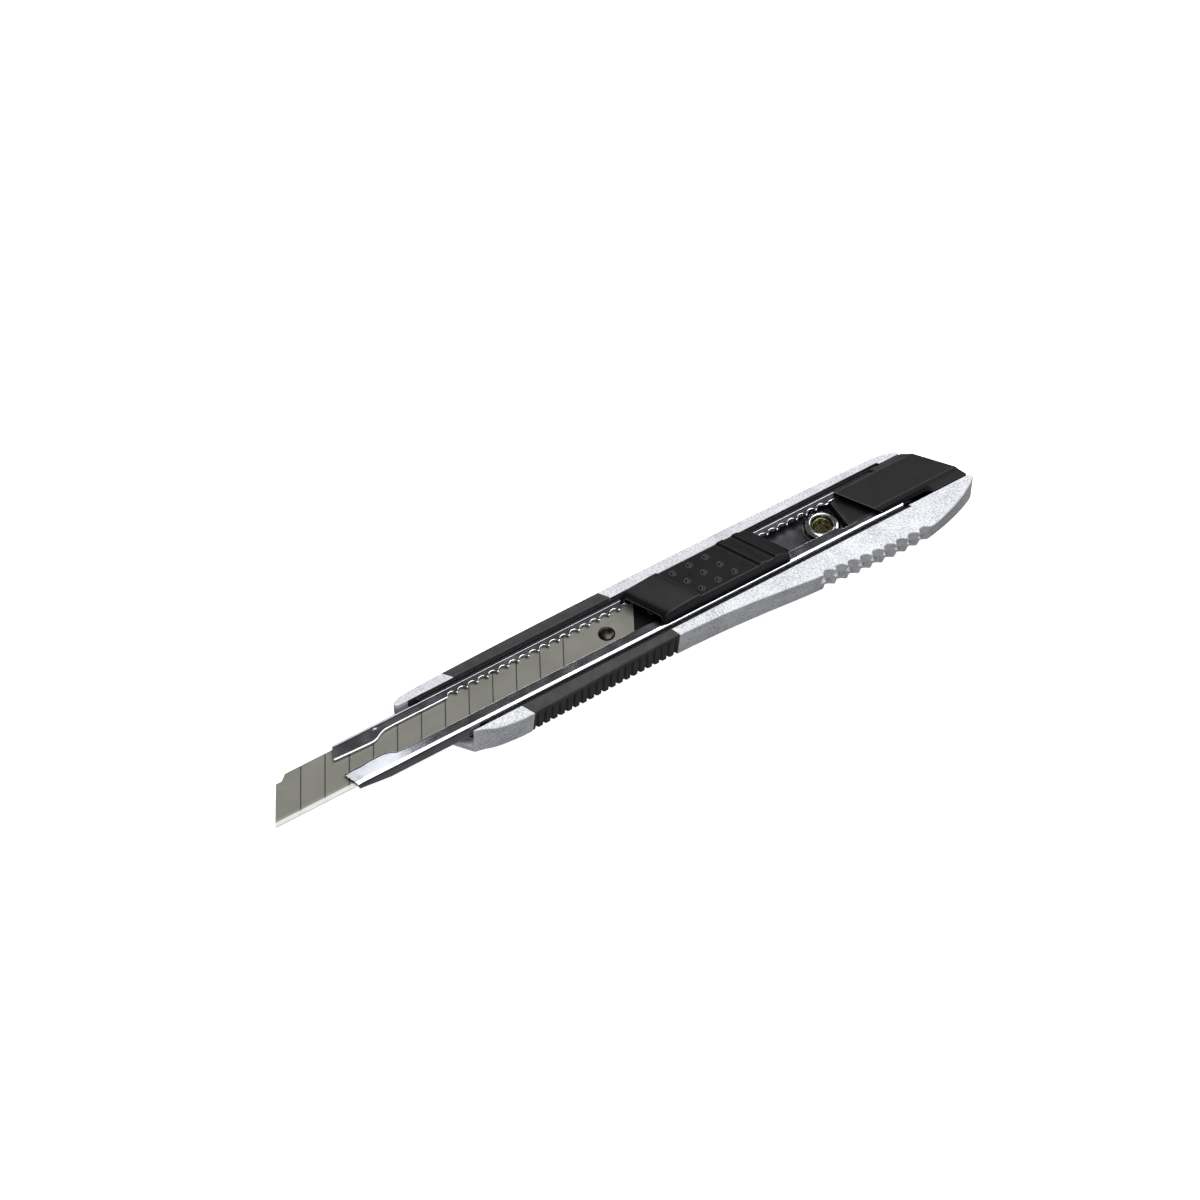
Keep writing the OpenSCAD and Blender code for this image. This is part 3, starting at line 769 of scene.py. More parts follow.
@dataclass
class Casting:
    """The die-cast body: a floor and two side walls with lobes and finger scallops."""

    front: float = 18.4
    butt: float = 127.0
    pocket: float = 5.95
    rear_pocket: float = 5.45
    floor: float = 1.6
    top: float = 6.9
    top_fall: float = math.tan(math.radians(14))
    side_lean: float = 0.22
    edge_radius: float = 0.3
    step_place: float = 118.0
    grip_span: Point2 = (29.45, 62.2)
    grip_core: float = 0.8
    grip_top: float = 1.3
    scallop: Bites = Bites(97.0, 2.59, 9, 1.26, 0.75, 0.09)
    scallop_shift: float = 1.05
    scallop_mid: float = 2.9
    ledge: float = 0.15
    # Behind this place the pocket's inner walls and floor take a dark painted shade.
    painted_shade_from: float = 20.6
    # The slant of the lines across the handle, as X per Y, at places on the centre line.
    slants: tuple[Point2, ...] = (
        (18.4, 0.748), (24.0, 0.72), (29.5, 0.6), (62.0, 0.48), (90.0, 0.5), (112.0, 0.748),
    )
    # How far the walls stand outside the pocket: (place, distance).
    edge_wall: tuple[Point2, ...] = (
        (22.3, 0.12), (24.0, 0.5), (26.7, 1.55), (29.0, 2.05), (33.0, 2.42), (45.0, 2.2),
        (58.0, 1.85), (66.0, 1.8), (74.0, 2.05), (84.0, 2.85), (93.5, 3.9), (100.0, 4.38),
        (108.0, 5.0), (115.0, 5.3), (119.0, 5.2), (123.0, 4.4), (127.2, 2.95), (130.0, 1.55),
        (131.8, 0.32),
    )
    spine_wall: tuple[Point2, ...] = (
        (13.55, 0.3), (13.75, 0.8), (14.5, 1.4), (15.7, 1.85), (19.5, 2.15), (25.0, 2.35),
        (40.0, 2.6), (57.5, 2.65), (77.0, 2.6), (97.0, 2.3), (110.0, 1.9), (118.0, 1.55),
        (120.2, 1.2), (122.0, 0.6), (123.1, -0.3),
    )

    def __post_init__(self) -> None:
        """Reads the outlines as curves of the place on the centre line."""
        self.slant = Curve(self.slants)
        self.walls = {
            side: Curve(self.on_centre_line(side, wall))
            for side, wall in ((Side.EDGE, self.edge_wall), (Side.SPINE, self.spine_wall))
        }

    def on_centre_line(self, side: Side, wall: Sequence[Point2]) -> list[Point2]:
        """Slides each wall point along its slanted line to the centre line.

        Args:
            side: The wall's side.
            wall: (place, distance outside the pocket).

        Returns:
            The same distances against places on the centre line.
        """
        out = []
        for x, distance in wall:
            y = side.value * (self.pocket + distance)
            u = x
            for _ in range(12):
                u = x + self.slant(u) * y
            out.append((u, distance))
        return out

    def place(self, u: float, y: float) -> float:
        """X of the point at y on the slanted line that crosses the centre line at u."""
        return u - self.slant(u) * y

    def outside(self, side: Side, u: float) -> float:
        """The wall's plain outside distance from the centre line, without scallops."""
        return self.pocket + self.walls[side](u)

    def is_gripped(self, u: float) -> bool:
        """Whether the rubber grips cover the walls here."""
        return self.grip_span[0] < u < self.grip_span[1]

    def top_at(self, y: float) -> float:
        """Height of the top face at a distance from the centre line."""
        return self.top - (abs(y) - self.pocket) * self.top_fall

    def wall_corners(self, side: Side, u: float, inset: float) -> list[Corner]:
        """The corners of one wall's section, from its foot outside to its foot inside.

        Args:
            side: The wall's side.
            u: The place on the centre line.
            inset: How far the whole section is drawn in.

        Returns:
            (distance from the centre line, height, radius) corners.
        """
        out = self.outside(side, u)
        step_at = self.step_place + side.value * self.pocket * self.slant(u)
        inner = self.pocket if u < step_at else self.rear_pocket
        lean = self.side_lean * (out - self.pocket)
        top_out = self.top_at(out)
        top_in = self.top
        low_cut = high_cut = 0.0
        if self.is_gripped(u):
            out = self.pocket + self.grip_core
            lean = 0.0
            top_out = top_in = self.top - self.grip_top
        elif side is Side.EDGE:
            x = self.place(u, -out)
            low_cut = self.scallop(x - self.scallop_shift)
            high_cut = self.scallop(x)
            top_out = self.top_at(out - high_cut)
        thick = out - max(low_cut, high_cut) - inner
        radius = min(self.edge_radius, 0.4 * thick)
        inset = min(inset, 0.3 * thick)
        mid, ledge = self.scallop_mid, self.ledge
        half = lean * (1 - mid / top_out)
        return [
            (out - lean - low_cut - inset, inset, min(0.4, 0.4 * thick)),
            (out - half - low_cut - inset, mid - ledge, 0.08),
            (out - half - high_cut - inset, mid + ledge, 0.08),
            (out - high_cut - inset, top_out - inset, radius),
            (inner + inset, top_in - inset, min(0.16, radius)),
            (inner + inset, self.floor - inset, 0.25),
        ]

    def ring(self, u: float, inset: float = 0.0) -> Ring:
        """One ring of the body's skin.

        Args:
            u: The place on the centre line.
            inset: How far the section is drawn in.

        Returns:
            The ring's points.
        """
        edge = mirrored(self.wall_corners(Side.EDGE, u, inset))
        outline = rounded(edge + self.wall_corners(Side.SPINE, u, inset)[::-1])
        plain_edge = -self.outside(Side.EDGE, u)
        return [(self.place(u, max(y, plain_edge)), y, z) for y, z in outline]

    def stations(self) -> list[Point2]:
        """The rings' places on the centre line, each with its inset."""
        # The scallops' span, carried along the slant from the outer wall to the centre line.
        scallop_from = self.scallop.first - 1.4 - 0.5 * 10.4
        scallop_to = self.scallop.end() - 0.72 * 11.2
        hair = 0.01
        grip_start, grip_end = self.grip_span
        places = spread(self.front + 0.3, self.front + 5, 0.25)
        places += spread(self.front + 5.6, grip_start - hair, 0.6)
        places += spread(grip_start + 1, grip_end - 1, 2.0)
        places += [grip_start + hair, grip_end - hair, grip_end + hair]
        places += spread(grip_end + 0.8, scallop_from, 0.8)
        places += spread(scallop_from + 0.15, scallop_to, 0.13)
        places += spread(scallop_to + 0.4, self.butt - 0.3, 0.4)
        for side in Side:
            step = self.step_place + side.value * self.pocket * self.slant(self.step_place)
            places += [step - hair, step + hair]
        return ring_places(self.front, self.butt, places, 0.25)

    def build(self, finish: Material, pocket_finish: Material) -> Object:
        """Builds and dresses the casting.

        Args:
            finish: Its material.
            pocket_finish: The material of the pocket's inner walls and floor, painted dark as
                shade.

        Returns:
            The piece.
        """
        stations = self.stations()
        rings = [self.ring(u, inset) for u, inset in stations]
        per_corner = len(rings[0]) // 12
        # The inner walls and floor of the pocket, behind the front, take the second material: a
        # painted shade.
        pocket = range(5 * per_corner - 1, 7 * per_corner)
        shell = Shell()
        shell.loft(
            rings,
            look_of=lambda ring, spot: int(spot in pocket and stations[ring][0] > self.painted_shade_from),
        )
        piece = shell.piece("casting_body", [finish, pocket_finish])
        return settle(piece, "handle", "handle_casting")


@dataclass
class RubberGrip:
    """One ribbed rubber pad, laid over a wall of the casting."""

    side: Side
    node: str
    casting: Casting
    low: float = 0.3
    rib_pitch: float = 1.57
    groove_width: float = 0.52
    groove_depth: float = 0.58
    groove_top: float = 1.75
    spine_groove_top: float = 0.5
    groove_lean: float = 0.06
    corner: float = 0.45
    gap: float = 0.02

    def groove(self, x: float, drop: float, height: float) -> float:
        """Depth of the grooves between the ribs.

        Args:
            x: The place along the knife.
            drop: How far below the pad's top edge.
            height: The height above the underside.

        Returns:
            The depth there.
        """
        x += self.groove_lean * (height - 3)
        off = (x / self.rib_pitch) % 1.0
        off = abs(off - 0.5) * self.rib_pitch
        across = 1 - ease((off - self.groove_width * 0.25) / (self.groove_width * 0.55))
        top = self.groove_top if self.side is Side.EDGE else self.spine_groove_top
        along = ease((drop - top * 0.45) / (top * 0.4))
        return self.groove_depth * across * along

    def ring(self, u: float, inset: float = 0.0) -> Ring:
        """One ring of the pad.

        Args:
            u: The place on the centre line.
            inset: How far the section is drawn in.

        Returns:
            The ring's points.
        """
        c = self.casting
        out = c.outside(self.side, u)
        top = c.top_at(out)
        wall = c.pocket + c.grip_core
        core_top = c.top - c.grip_top
        lean = c.side_lean * (out - c.pocket)
        corners = [
            (out - inset, top - inset, self.corner),
            (c.pocket + self.gap + inset, c.top - inset, 0.12),
            (c.pocket + self.gap + inset, core_top, 0.03),
            (wall, core_top, 0.03),
            (wall, self.low + inset, 0.03),
            (out - lean - inset, self.low + inset, 0.3),
        ]
        outline = rounded(corners)
        (y0, z0), (y1, z1) = outline[-1], outline[0]
        levels = [k / 12 for k in range(1, 12)]
        outline += [(y0 + (y1 - y0) * t, z0 + (z1 - z0) * t) for t in levels]
        x_out = c.place(u, self.side.value * out)
        ring = []
        for y, z in outline:
            sunk = self.groove(x_out, top - z, z) if y > wall + 0.2 else 0.0
            ring.append((c.place(u, self.side.value * y), self.side.value * (y - sunk), z))
        return ring

    def build(self, finish: Material) -> Object:
        """Builds and dresses the pad.

        Args:
            finish: Its material.

        Returns:
            The piece.
        """
        start, end = self.casting.grip_span
        radius = 0.18
        places = spread(start + radius + 0.03, end - radius - 0.03, 0.13)
        stations = ring_places(start + self.gap, end - self.gap, places, radius)
        shell = Shell()
        shell.loft([self.ring(u, inset) for u, inset in stations])
        name = "ribbed_pad_" + self.side.name.lower()
        return settle(shell.piece(name, [finish]), "handle", self.node)


@dataclass
class Channel:
    """The folded steel channel with its two lips and the row of ratchet notches."""

    length: float = 117.0
    half: float = 5.15
    low: float = 3.6
    top: float = 6.6
    sheet: float = 0.5
    bend: float = 0.9
    cut_edge: float = 0.06
    rake: float = 1.3
    ramp: float = 6.2
    ramp_rise: float = 1.15
    lip_tilt: float = 0.28
    notch: Bites = Bites(23.8, 2.16, 38, 0.95, 0.75, 0.15)
    dimple: Point2 = (8.1, 3.4)
    dimple_depth: float = 0.05
    # Inner edges of the two lips near the mouth and at the rear: (place, Y).
    edge_line: tuple[Point2, ...] = (
        (-1.3, -1.95), (-0.6, -1.78), (6.4, -1.45), (8.0, -1.9), (9.3, -2.5), (11.0, -2.55),
        (103.2, -2.6), (104.4, -3.4), (117.0, -3.5),
    )
    spine_line: tuple[Point2, ...] = (
        (-1.3, 2.1), (0.0, 1.88), (6.4, 1.55), (7.4, 1.75), (8.6, 2.4), (9.8, 2.78),
        (12.0, 2.85), (105.2, 2.85), (105.6, 3.2), (117.0, 3.2),
    )

    def __post_init__(self) -> None:
        """Reads the lips' edges as curves."""
        self.edge_curve = Curve(self.edge_line)
        self.spine_curve = Curve(self.spine_line)

    def lip_drop(self, side: Side, x: float, y: float) -> float:
        """How far a lip sinks towards its bend, which tilts it near the mouth.

        Args:
            side: The lip's side.
            x: The place along the channel.
            y: The place across it.

        Returns:
            The drop there.
        """
        if side is Side.SPINE:
            return 0.0
        share = (abs(y) - 1.5) / (self.half - 1.5)
        return self.lip_tilt * max(0.0, share) * (1 - ease((x - 8) / 12))

    def dent(self, x: float, y: float) -> float:
        """Depth of the small pressed mark on the spine lip near the mouth."""
        off = math.hypot(x - self.dimple[0], y - self.dimple[1])
        return self.dimple_depth * (1 - ease((off - 0.2) / 0.7))

    def half_path(self, side: Side, x: float, offset: float) -> list[Point2]:
        """One side of the sheet's section, from the floor's middle to the lip's edge.

        Args:
            side: Which side.
            x: The place along the channel.
            offset: How far inside the outer face the path runs.

        Returns:
            (Y, Z) points.
        """
        rise = self.ramp_rise * max(0.0, 1 - max(0.0, x) / self.ramp)
        low = self.low + rise
        radius = min(self.bend, 0.45 * (self.top - low))
        if side is Side.SPINE:
            lip = self.spine_curve(x) + self.notch(x)
        else:
            lip = -self.edge_curve(x)
        out = self.half - offset
        inner_radius = max(0.12, radius - offset)
        centre_low = low + offset + inner_radius
        centre_high = self.top - offset - inner_radius
        start = out - inner_radius
        path: list[Point2] = [(t * start, low + offset) for t in (0, 0.5)]
        for centre, first in ((centre_low, -90), (centre_high, 0)):
            for k in range(7):
                a = math.radians(first + 15 * k)
                across, up = inner_radius * math.cos(a), inner_radius * math.sin(a)
                path.append((start + across, centre + up))
        flat = self.top - offset
        cut = self.cut_edge
        down = -1 if offset == 0 else 1
        for k in range(1, 11):
            path.append((start + (lip + cut - start) * k / 10, flat))
        path += [(lip + 0.3 * cut, flat + 0.3 * cut * down), (lip, flat + cut * down)]
        return [
            (side.value * y, z - self.lip_drop(side, x, y) * ease((z - self.top + 1.3) / 0.7))
            for y, z in path
        ]

    def ring(self, x: float) -> Ring:
        """One ring round the sheet, outside first and then back along the inside.

        Args:
            x: The place along the channel.

        Returns:
            The ring's points, raked forward at the mouth.
        """
        outer, inner = (
            self.half_path(Side.EDGE, x, offset)[::-1] + self.half_path(Side.SPINE, x, offset)[1:]
            for offset in (0.0, self.sheet)
        )
        ring = []
        for path in (outer, inner[::-1]):
            for y, z in path:
                reach = (self.half - abs(y)) / (self.half - 2.0)
                lip = ease((z - self.top + 0.8) / 0.3)
                pull = self.rake * min(1.0, reach) * lip * max(0.0, 1 - x / 3.0)
                ring.append((x - pull, y, z - self.dent(x, y) * lip))
        return ring

    def stations(self) -> list[float]:
        """The rings' places along the channel."""
        places = spread(0, 3, 0.3) + spread(3.3, 6.2, 0.5) + spread(6.4, 10, 0.15)
        first = self.notch.first - self.notch.radius
        places += spread(10.5, first - 0.3, 1.5)
        last = self.notch.end() - self.notch.pitch
        places += spread(first - 0.15, last + 1.1, self.notch.pitch / 16)
        places += spread(last + 1.25, 106, 0.12) + spread(108, self.length, 1.5)
        return sorted(set(round(p, 4) for p in places))

    def build(self, finish: Material, floor_finish: Material) -> Object:
        """Builds and dresses the channel.

        Args:
            finish: Its material.
            floor_finish: The rougher material of its inner floor, painted dark as shade.

        Returns:
            The piece.
        """
        rings = [self.ring(x) for x in self.stations()]
        # The middle of the inner floor takes the second material: painted shade under the blade.
        floor_middle = 3 * len(rings[0]) // 4
        shell = Shell()
        shell.loft(rings, Cap.SHEET, lambda ring, spot: int(abs(spot - floor_middle) < 6))
        piece = shell.piece("folded_channel", [finish, floor_finish], crease=32)
        return settle(piece, "handle", "blade_channel")


@dataclass
class PanScrew:
    """The pan-head screw with a cross recess that clamps the channel."""

    radius: float = 3.5
    height: float = 1.45
    shank: float = 1.5
    rim: float = 0.35
    ring_at: float = 2.35
    bowl: float = 1.65
    bowl_depth: float = 0.6
    recess: float = 1.25
    recess_depth: float = 0.4
    wing: float = 0.3
    turn: float = 20.0

    def crown(self, r: float) -> float:
        """Height of the head at a distance from its middle, a rounded ring round a bowl."""
        t = max(0.0, (r - self.ring_at) / (self.radius - self.ring_at))
        return self.rim + (self.height - self.rim) * math.sqrt(max(0.0, 1 - t**2.4))

    def sunk(self, r: float, angle: float) -> float:
        """Depth of the bowl and of the cross recess in it.

        Args:
            r: Distance from the screw's middle.
            angle: Direction round the screw.

        Returns:
            The depth below the ring.
        """
        a = angle - math.radians(self.turn)
        x, y = abs(r * math.cos(a)), abs(r * math.sin(a))
        wall = 1 - ease((min(x, y) - self.wing) / 0.2)
        end = 1 - ease((max(x, y) - self.recess) / 0.3)
        bowl = 1 - ease((r - self.bowl) / (self.ring_at - self.bowl + 0.1))
        return self.bowl_depth * bowl + self.recess_depth * min(wall, end)

    def build(self, finish: Material, bowl_finish: Material) -> Object:
        """Builds and dresses the screw.

        Args:
            finish: The head's material.
            bowl_finish: The material of the bowl: its yellowish tone, painted dark as shade.

        Returns:
            The piece.
        """
        low, high = DATUM.box("channel_screw")
        centre = ((low.x + high.x) / 2, (low.y + high.y) / 2, 0.0)
        base = high.z - self.height
        radii = [0.02] + spread(0.1, self.ring_at + 0.2, 0.08)
        radii += spread(self.ring_at + 0.3, self.radius - 0.08, 0.12) + [self.radius]
        profile = [(0.02, low.z), (self.shank - 0.2, low.z), (self.shank, low.z + 0.2)]
        profile += [(self.shank, base), (self.radius, base)]
        profile += [
            (r, lambda a, r=r: base + self.crown(r) - self.sunk(r, a)) for r in reversed(radii)
        ]
        # The bowl's faces take the second material: painted shade in the recess.
        bowl_from = len(profile) - sum(1 for r in radii if r < self.ring_at - 0.25)
        shell = Shell()
        shell.lathe(profile, centre, 96, lambda ring, spot: int(ring >= bowl_from))
        piece = shell.piece("pan_screw", [finish, bowl_finish], crease=50, even=False)
        return settle(piece, "handle", "channel_screw")


# ---------------------------------------------------------------- the slider


@dataclass
class ThumbPiece:
    """The moulded slider button: a front pad, a sunken middle with bumps, and two ridges."""

    slant: float = math.tan(math.radians(26.5))
    foot: float = 4.65
    lean: float = 0.42
    skirt: float = 0.5
    rear_tuck: float = 1.0
    corner: float = 0.16
    wall: float = 0.95
    middle: float = 9.6
    hollow_length: float = 5.6
    hollow_rise: float = 1.95
    bumps_at: float = 13.1
    bump_radius: float = 0.75
    bump_sunk: float = 0.45
    bump_pitch: Point2 = (3.55, 2.78)
    # The top along the centre line: (distance behind the front, height over the middle).
    crest: tuple[Point2, ...] = (
        (0.0, -0.75), (0.25, -0.42), (0.8, -0.16), (2.0, 0.06), (4.5, 0.36), (7.3, 0.58),
        (7.52, 0.55), (7.72, 0.04), (7.9, 0.0), (20.3, 0.0), (20.5, 0.08), (20.75, 0.44),
        (20.95, 0.5), (21.8, 0.5), (22.0, 0.44), (22.25, 0.14), (22.45, 0.1), (23.6, 0.1),
        (23.8, 0.16), (24.05, 0.48), (24.3, 0.55), (24.85, 0.5), (25.0, 0.44), (25.25, 0.28),
        (27.7, -0.98), (27.95, -1.15), (28.05, -1.4), (28.25, -1.9), (28.3, -2.0),
    )

    def __post_init__(self) -> None:
        """Reads the piece's place from the frame."""
        low, high = DATUM.box("slider_button")
        self.low = low.z
        self.front = low.x + self.slant * self.foot
        self.rear = high.x - self.slant * self.foot
        self.profile = Curve(self.crest)

    def hollow(self, u: float) -> float:
        """Height of the arched hollow under the front pad, above the foot.

        Args:
            u: Distance behind the front.

        Returns:
            0 where there is none.
        """
        if u > self.hollow_length:
            return 0.0
        return self.hollow_rise * math.sqrt(1 - (u / self.hollow_length) ** 2)

    def ring(self, u: float, inset: float = 0.0) -> Ring:
        """One ring of the button.

        Args:
            u: Distance behind the front on the centre line.
            inset: How far the section is drawn in.

        Returns:
            The ring's points.
        """
        top = self.middle + self.profile(u) - inset
        low = self.low + inset
        tuck = self.rear_tuck * ease((u + 1.6 - self.rear + self.front) / 1.6)
        side_top = self.foot - self.lean - inset - tuck
        foot = self.foot - inset - tuck
        arch = max(0.02, min(self.hollow(u), top - low - 0.5))
        width = self.foot - self.wall
        corner = min(self.corner, 0.4 * (top - low))
        skirt = min(self.skirt, 0.3 * (top - low))
        outside = [(foot, low, 0.1), (foot, low + skirt, 0.15), (side_top, top, corner)]
        under = [(width, low, 0.1), (width - 0.25, low + arch, 0.5 * min(1.2, arch))]
        corners = mirrored(outside) + outside[::-1] + under + mirrored(under)[::-1]
        x = self.front + u
        return [(x - self.slant * y, y, z) for y, z in rounded(corners)]

    def bump(self, shell: Shell, x: float, y: float) -> None:
        """Adds one low round grip bump to the sunken middle.

        Args:
            shell: The shell that takes it.
            x: Its place along the knife.
            y: Its place across.
        """
        r, sunk = self.bump_radius, self.bump_sunk
        rim = math.sqrt(r * r - sunk * sunk)
        profile = [(0.01, -0.5), (rim, -0.5)]
        # The dome leaves the pad 37 degrees up the ball and closes at its top.
        for k in range(1, 8):
            a = math.radians(37 + 53 * k / 7)
            profile.append((max(0.005, r * math.cos(a)), r * math.sin(a) - sunk))
        shell.lathe(profile, (x, y, self.middle), 28)

    def build(self, finish: Material) -> Object:
        """Builds and dresses the button.

        Args:
            finish: Its material.

        Returns:
            The piece.
        """
        length = self.rear - self.front
        places = [u for u, _ in self.crest if 0.3 < u < length - 0.3]
        places += spread(0.3, 7.1, 0.3) + spread(8.5, 20, 1.0) + spread(25.5, length - 0.7, 0.3)
        stations = ring_places(0.0, length, {round(p, 3) for p in places}, 0.16)
        shell = Shell()
        shell.loft([self.ring(u, inset) for u, inset in stations])
        for i in (-1, 0, 1):
            for j in (-1, 0, 1):
                y = j * self.bump_pitch[1]
                x = self.front + self.bumps_at + i * self.bump_pitch[0] - y * self.slant
                self.bump(shell, x, y)
        piece = shell.piece("thumb_piece", [finish], crease=42)
        return settle(piece, "slider", "slider_button")


@dataclass
class Leaf:
    """The lock spring: a thin leaf bent round its post, with a round ratchet nose."""

    thickness: float = 0.3
    edge_radius: float = 0.07
    nose: float = 0.8
    nose_from_tip: float = 3.45
    arm: float = 4.0
    arm_off: float = 0.95
    # Bends between the arm and the free end: (place from the nose, Y from the post).
    bends: tuple[Point2, ...] = (
        (2.6, -0.6), (1.0, 0.2), (-1.0, 0.2), (-2.2, -0.7), (-3.3, -1.7), (-2.9, -2.7),
    )

    def __post_init__(self) -> None:
        """Reads the spring's and the post's places from the frame."""
        self.low, self.high = DATUM.box("lock_spring")
        low, high = DATUM.box("spring_post")
        self.post = (low + high) / 2
        self.nose_x = self.low.x + self.nose_from_tip

    def path(self) -> list[Point2]:
        """The leaf's middle line in plan, from the post to its free end."""
        x, y = self.post.x, self.post.y
        line = [(x, y - self.arm_off), (x - self.arm, y - self.arm_off)]
        line += [(self.nose_x + ahead, y + aside) for ahead, aside in self.bends]
        out: list[Point2] = []
        knots = [Vector(p) for p in [line[0], *line, line[-1]]]
        for a, b, c, d in zip(knots, knots[1:], knots[2:], knots[3:]):
            for k in range(8):
                t = k / 8
                bend = 2 * a - 5 * b + 4 * c - d
                twist = 3 * b - a - 3 * c + d
                out.append(tuple((2 * b + (c - a) * t + bend * t * t + twist * t**3) / 2))
        return out + [line[-1]]

    def build(self, finish: Material) -> Object:
        """Builds and dresses the spring.

        Args:
            finish: Its material.

        Returns:
            The piece.
        """
        low, high = self.low, self.high
        path = self.path()
        section = bar(self.thickness / 2, low.z, high.z, self.edge_radius, 3)
        rings: list[Ring] = []
        for i, (x, y) in enumerate(path):
            a, b = path[max(i - 1, 0)], path[min(i + 1, len(path) - 1)]
            along = Vector((b[0] - a[0], b[1] - a[1])).normalized()
            rings.append([(x - along.y * w, y + along.x * w, z) for w, z in section])
        shell = Shell()
        shell.loft(rings)
        tall = high.z - low.z
        eye = [(0.72, 0.05), (1.0, 0.0), (1.1, 0.1), (1.1, tall - 0.1), (1.0, tall)]
        shell.lathe(eye + [(0.72, tall - 0.05)], (self.post.x, self.post.y, low.z), 40)
        out = self.nose
        nose = [(0.01, 0.0), (out - 0.1, 0.0), (out, 0.1), (out, tall - 0.1)]
        nose += [(out - 0.1, tall), (0.01, tall)]
        shell.lathe(nose, (self.nose_x, high.y - out, low.z), 40)
        return settle(shell.piece("leaf_spring", [finish]), "slider", "lock_spring")


@dataclass
class Peg:
    """The dark domed peg that stands through the blade's hole."""

    dome: float = 0.42
    dimple: float = 0.3

    def build(self, finish: Material) -> Object:
        """Builds and dresses the peg.

        Args:
            finish: Its material.

        Returns:
            The piece.
        """
        low, high = DATUM.box("blade_peg")
        radius = (high.x - low.x) / 2
        tall = high.z - low.z
        shoulder = tall - self.dome
        profile = [(0.01, 0.0), (radius, 0.0), (radius, shoulder)]
        for k in range(1, 9):
            a = math.radians(90 * k / 8)
            out = max(self.dimple, radius * math.cos(a))
            profile.append((out, shoulder + self.dome * math.sin(a)))
        profile += [(self.dimple, tall - 0.02), (0.22, tall - 0.12), (0.01, tall - 0.14)]
        centre = ((low.x + high.x) / 2, (low.y + high.y) / 2, low.z)
        shell = Shell()
        shell.lathe(profile, centre, 48)
        return settle(shell.piece("domed_peg", [finish]), "slider", "blade_peg")


# ---------------------------------------------------------------- the end cap


@dataclass
class EndCap:
    """The pull-off cap: a chamfered moulding with a tongue in the channel."""

    front_slant: float = math.tan(math.radians(30.7))
    rear_slant: float = math.tan(math.radians(36.8))
    foot: float = 5.2
    narrow_foot: float = 4.4
    shoulder: float = 4.05
    flat: float = 3.4
    tongue_half: float = 4.35
    tongue_end: float = 119.0
    tongue_rise: float = 2.5
    tongue_top: float = 6.0
    rib_half: float = 3.1
    rib_top: float = 6.3
    undercut: float = 1.2
    front: float = 108.9
    plate: float = 6.7
    block_half: float = 5.3
    block_from: float = 118.0
    chamfer: float = 0.48

    def __post_init__(self) -> None:
        """Reads the cap's place from the frame."""
        self.low, high = DATUM.box("end_cap")
        self.rear = high.x - self.rear_slant * self.block_half
        self.top = high.z

    def slant(self, u: float) -> float:
        """The slant of the lines across the cap at a place on its centre line."""
        t = (u - self.front) / (self.rear - self.front)
        return self.front_slant + (self.rear_slant - self.front_slant) * ease(t)

    def ring(self, u: float, inset: float = 0.0) -> Ring:
        """One ring of the cap's upper part.

        Args:
            u: The place on the centre line.
            inset: How far the section is drawn in.

        Returns:
            The ring's points.
        """
        deep = u > self.block_from + 2 * self.slant(u)
        low = self.low.z if deep else self.plate
        foot = self.foot if deep else self.narrow_foot
        under = self.block_half if deep else foot
        half = [
            (under - inset, low + inset, 0.1),
            (foot - inset, self.plate + 0.12, 0.05),
            (foot - inset, self.plate + 0.2, 0.08),
            (self.shoulder - inset, self.top - self.chamfer - inset, 0.12),
            (self.flat - inset * 0.5, self.top - inset, 0.12),
        ]
        corners = mirrored(half) + half[::-1]
        run = self.slant(u)
        under_front = self.undercut * (1 - ease((u - self.front) / 4)) / (self.top - self.plate)
        return [(u - run * y + under_front * (self.top - z), y, z) for y, z in rounded(corners)]

    def tongue(self, shell: Shell) -> None:
        """Adds the flat tongue that slides into the channel's end, with the rib on it.

        Args:
            shell: The shell that takes it.
        """
        front, end, radius = self.low.x, self.tongue_end, 0.15
        for start, half, z0, z1 in (
            (front, self.tongue_half, self.low.z + self.tongue_rise, self.tongue_top),
            (front + 0.3, self.rib_half, self.tongue_top - 0.2, self.rib_top),
        ):
            rings: list[Ring] = []
            sections = (start + radius, end - radius)
            for x, inset in ring_places(start, end, sections, radius):
                section = bar(half - inset, z0 + inset, z1 - inset, 0.12)
                rings.append([(x, y, z) for y, z in section])
            shell.loft(rings)

    def build(self, finish: Material) -> Object:
        """Builds and dresses the cap.

        Args:
            finish: Its material.

        Returns:
            The piece.
        """
        places = spread(self.front + 0.3, self.rear - 0.3, 0.5)
        stations = ring_places(self.front, self.rear, places, 0.16)
        shell = Shell()
        shell.loft([self.ring(u, inset) for u, inset in stations])
        self.tongue(shell)
        return settle(shell.piece("butt_cap", [finish]), "cap", "end_cap")


# ---------------------------------------------------------------- carried-over pieces


@dataclass
class KeptNodes:
    """The CAD nodes whose own shape is right, dressed in detailed materials."""

    finishes: dict[str, Material]

    def dress(self) -> None:
        """Puts each node's material on it."""
        for node, finish in self.finishes.items():
            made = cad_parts[node]
            made.data.materials.clear()
            made.data.materials.append(finish)
            LOG.info("%s: kept, finish %s", node, finish.name)


# ---------------------------------------------------------------- the studio


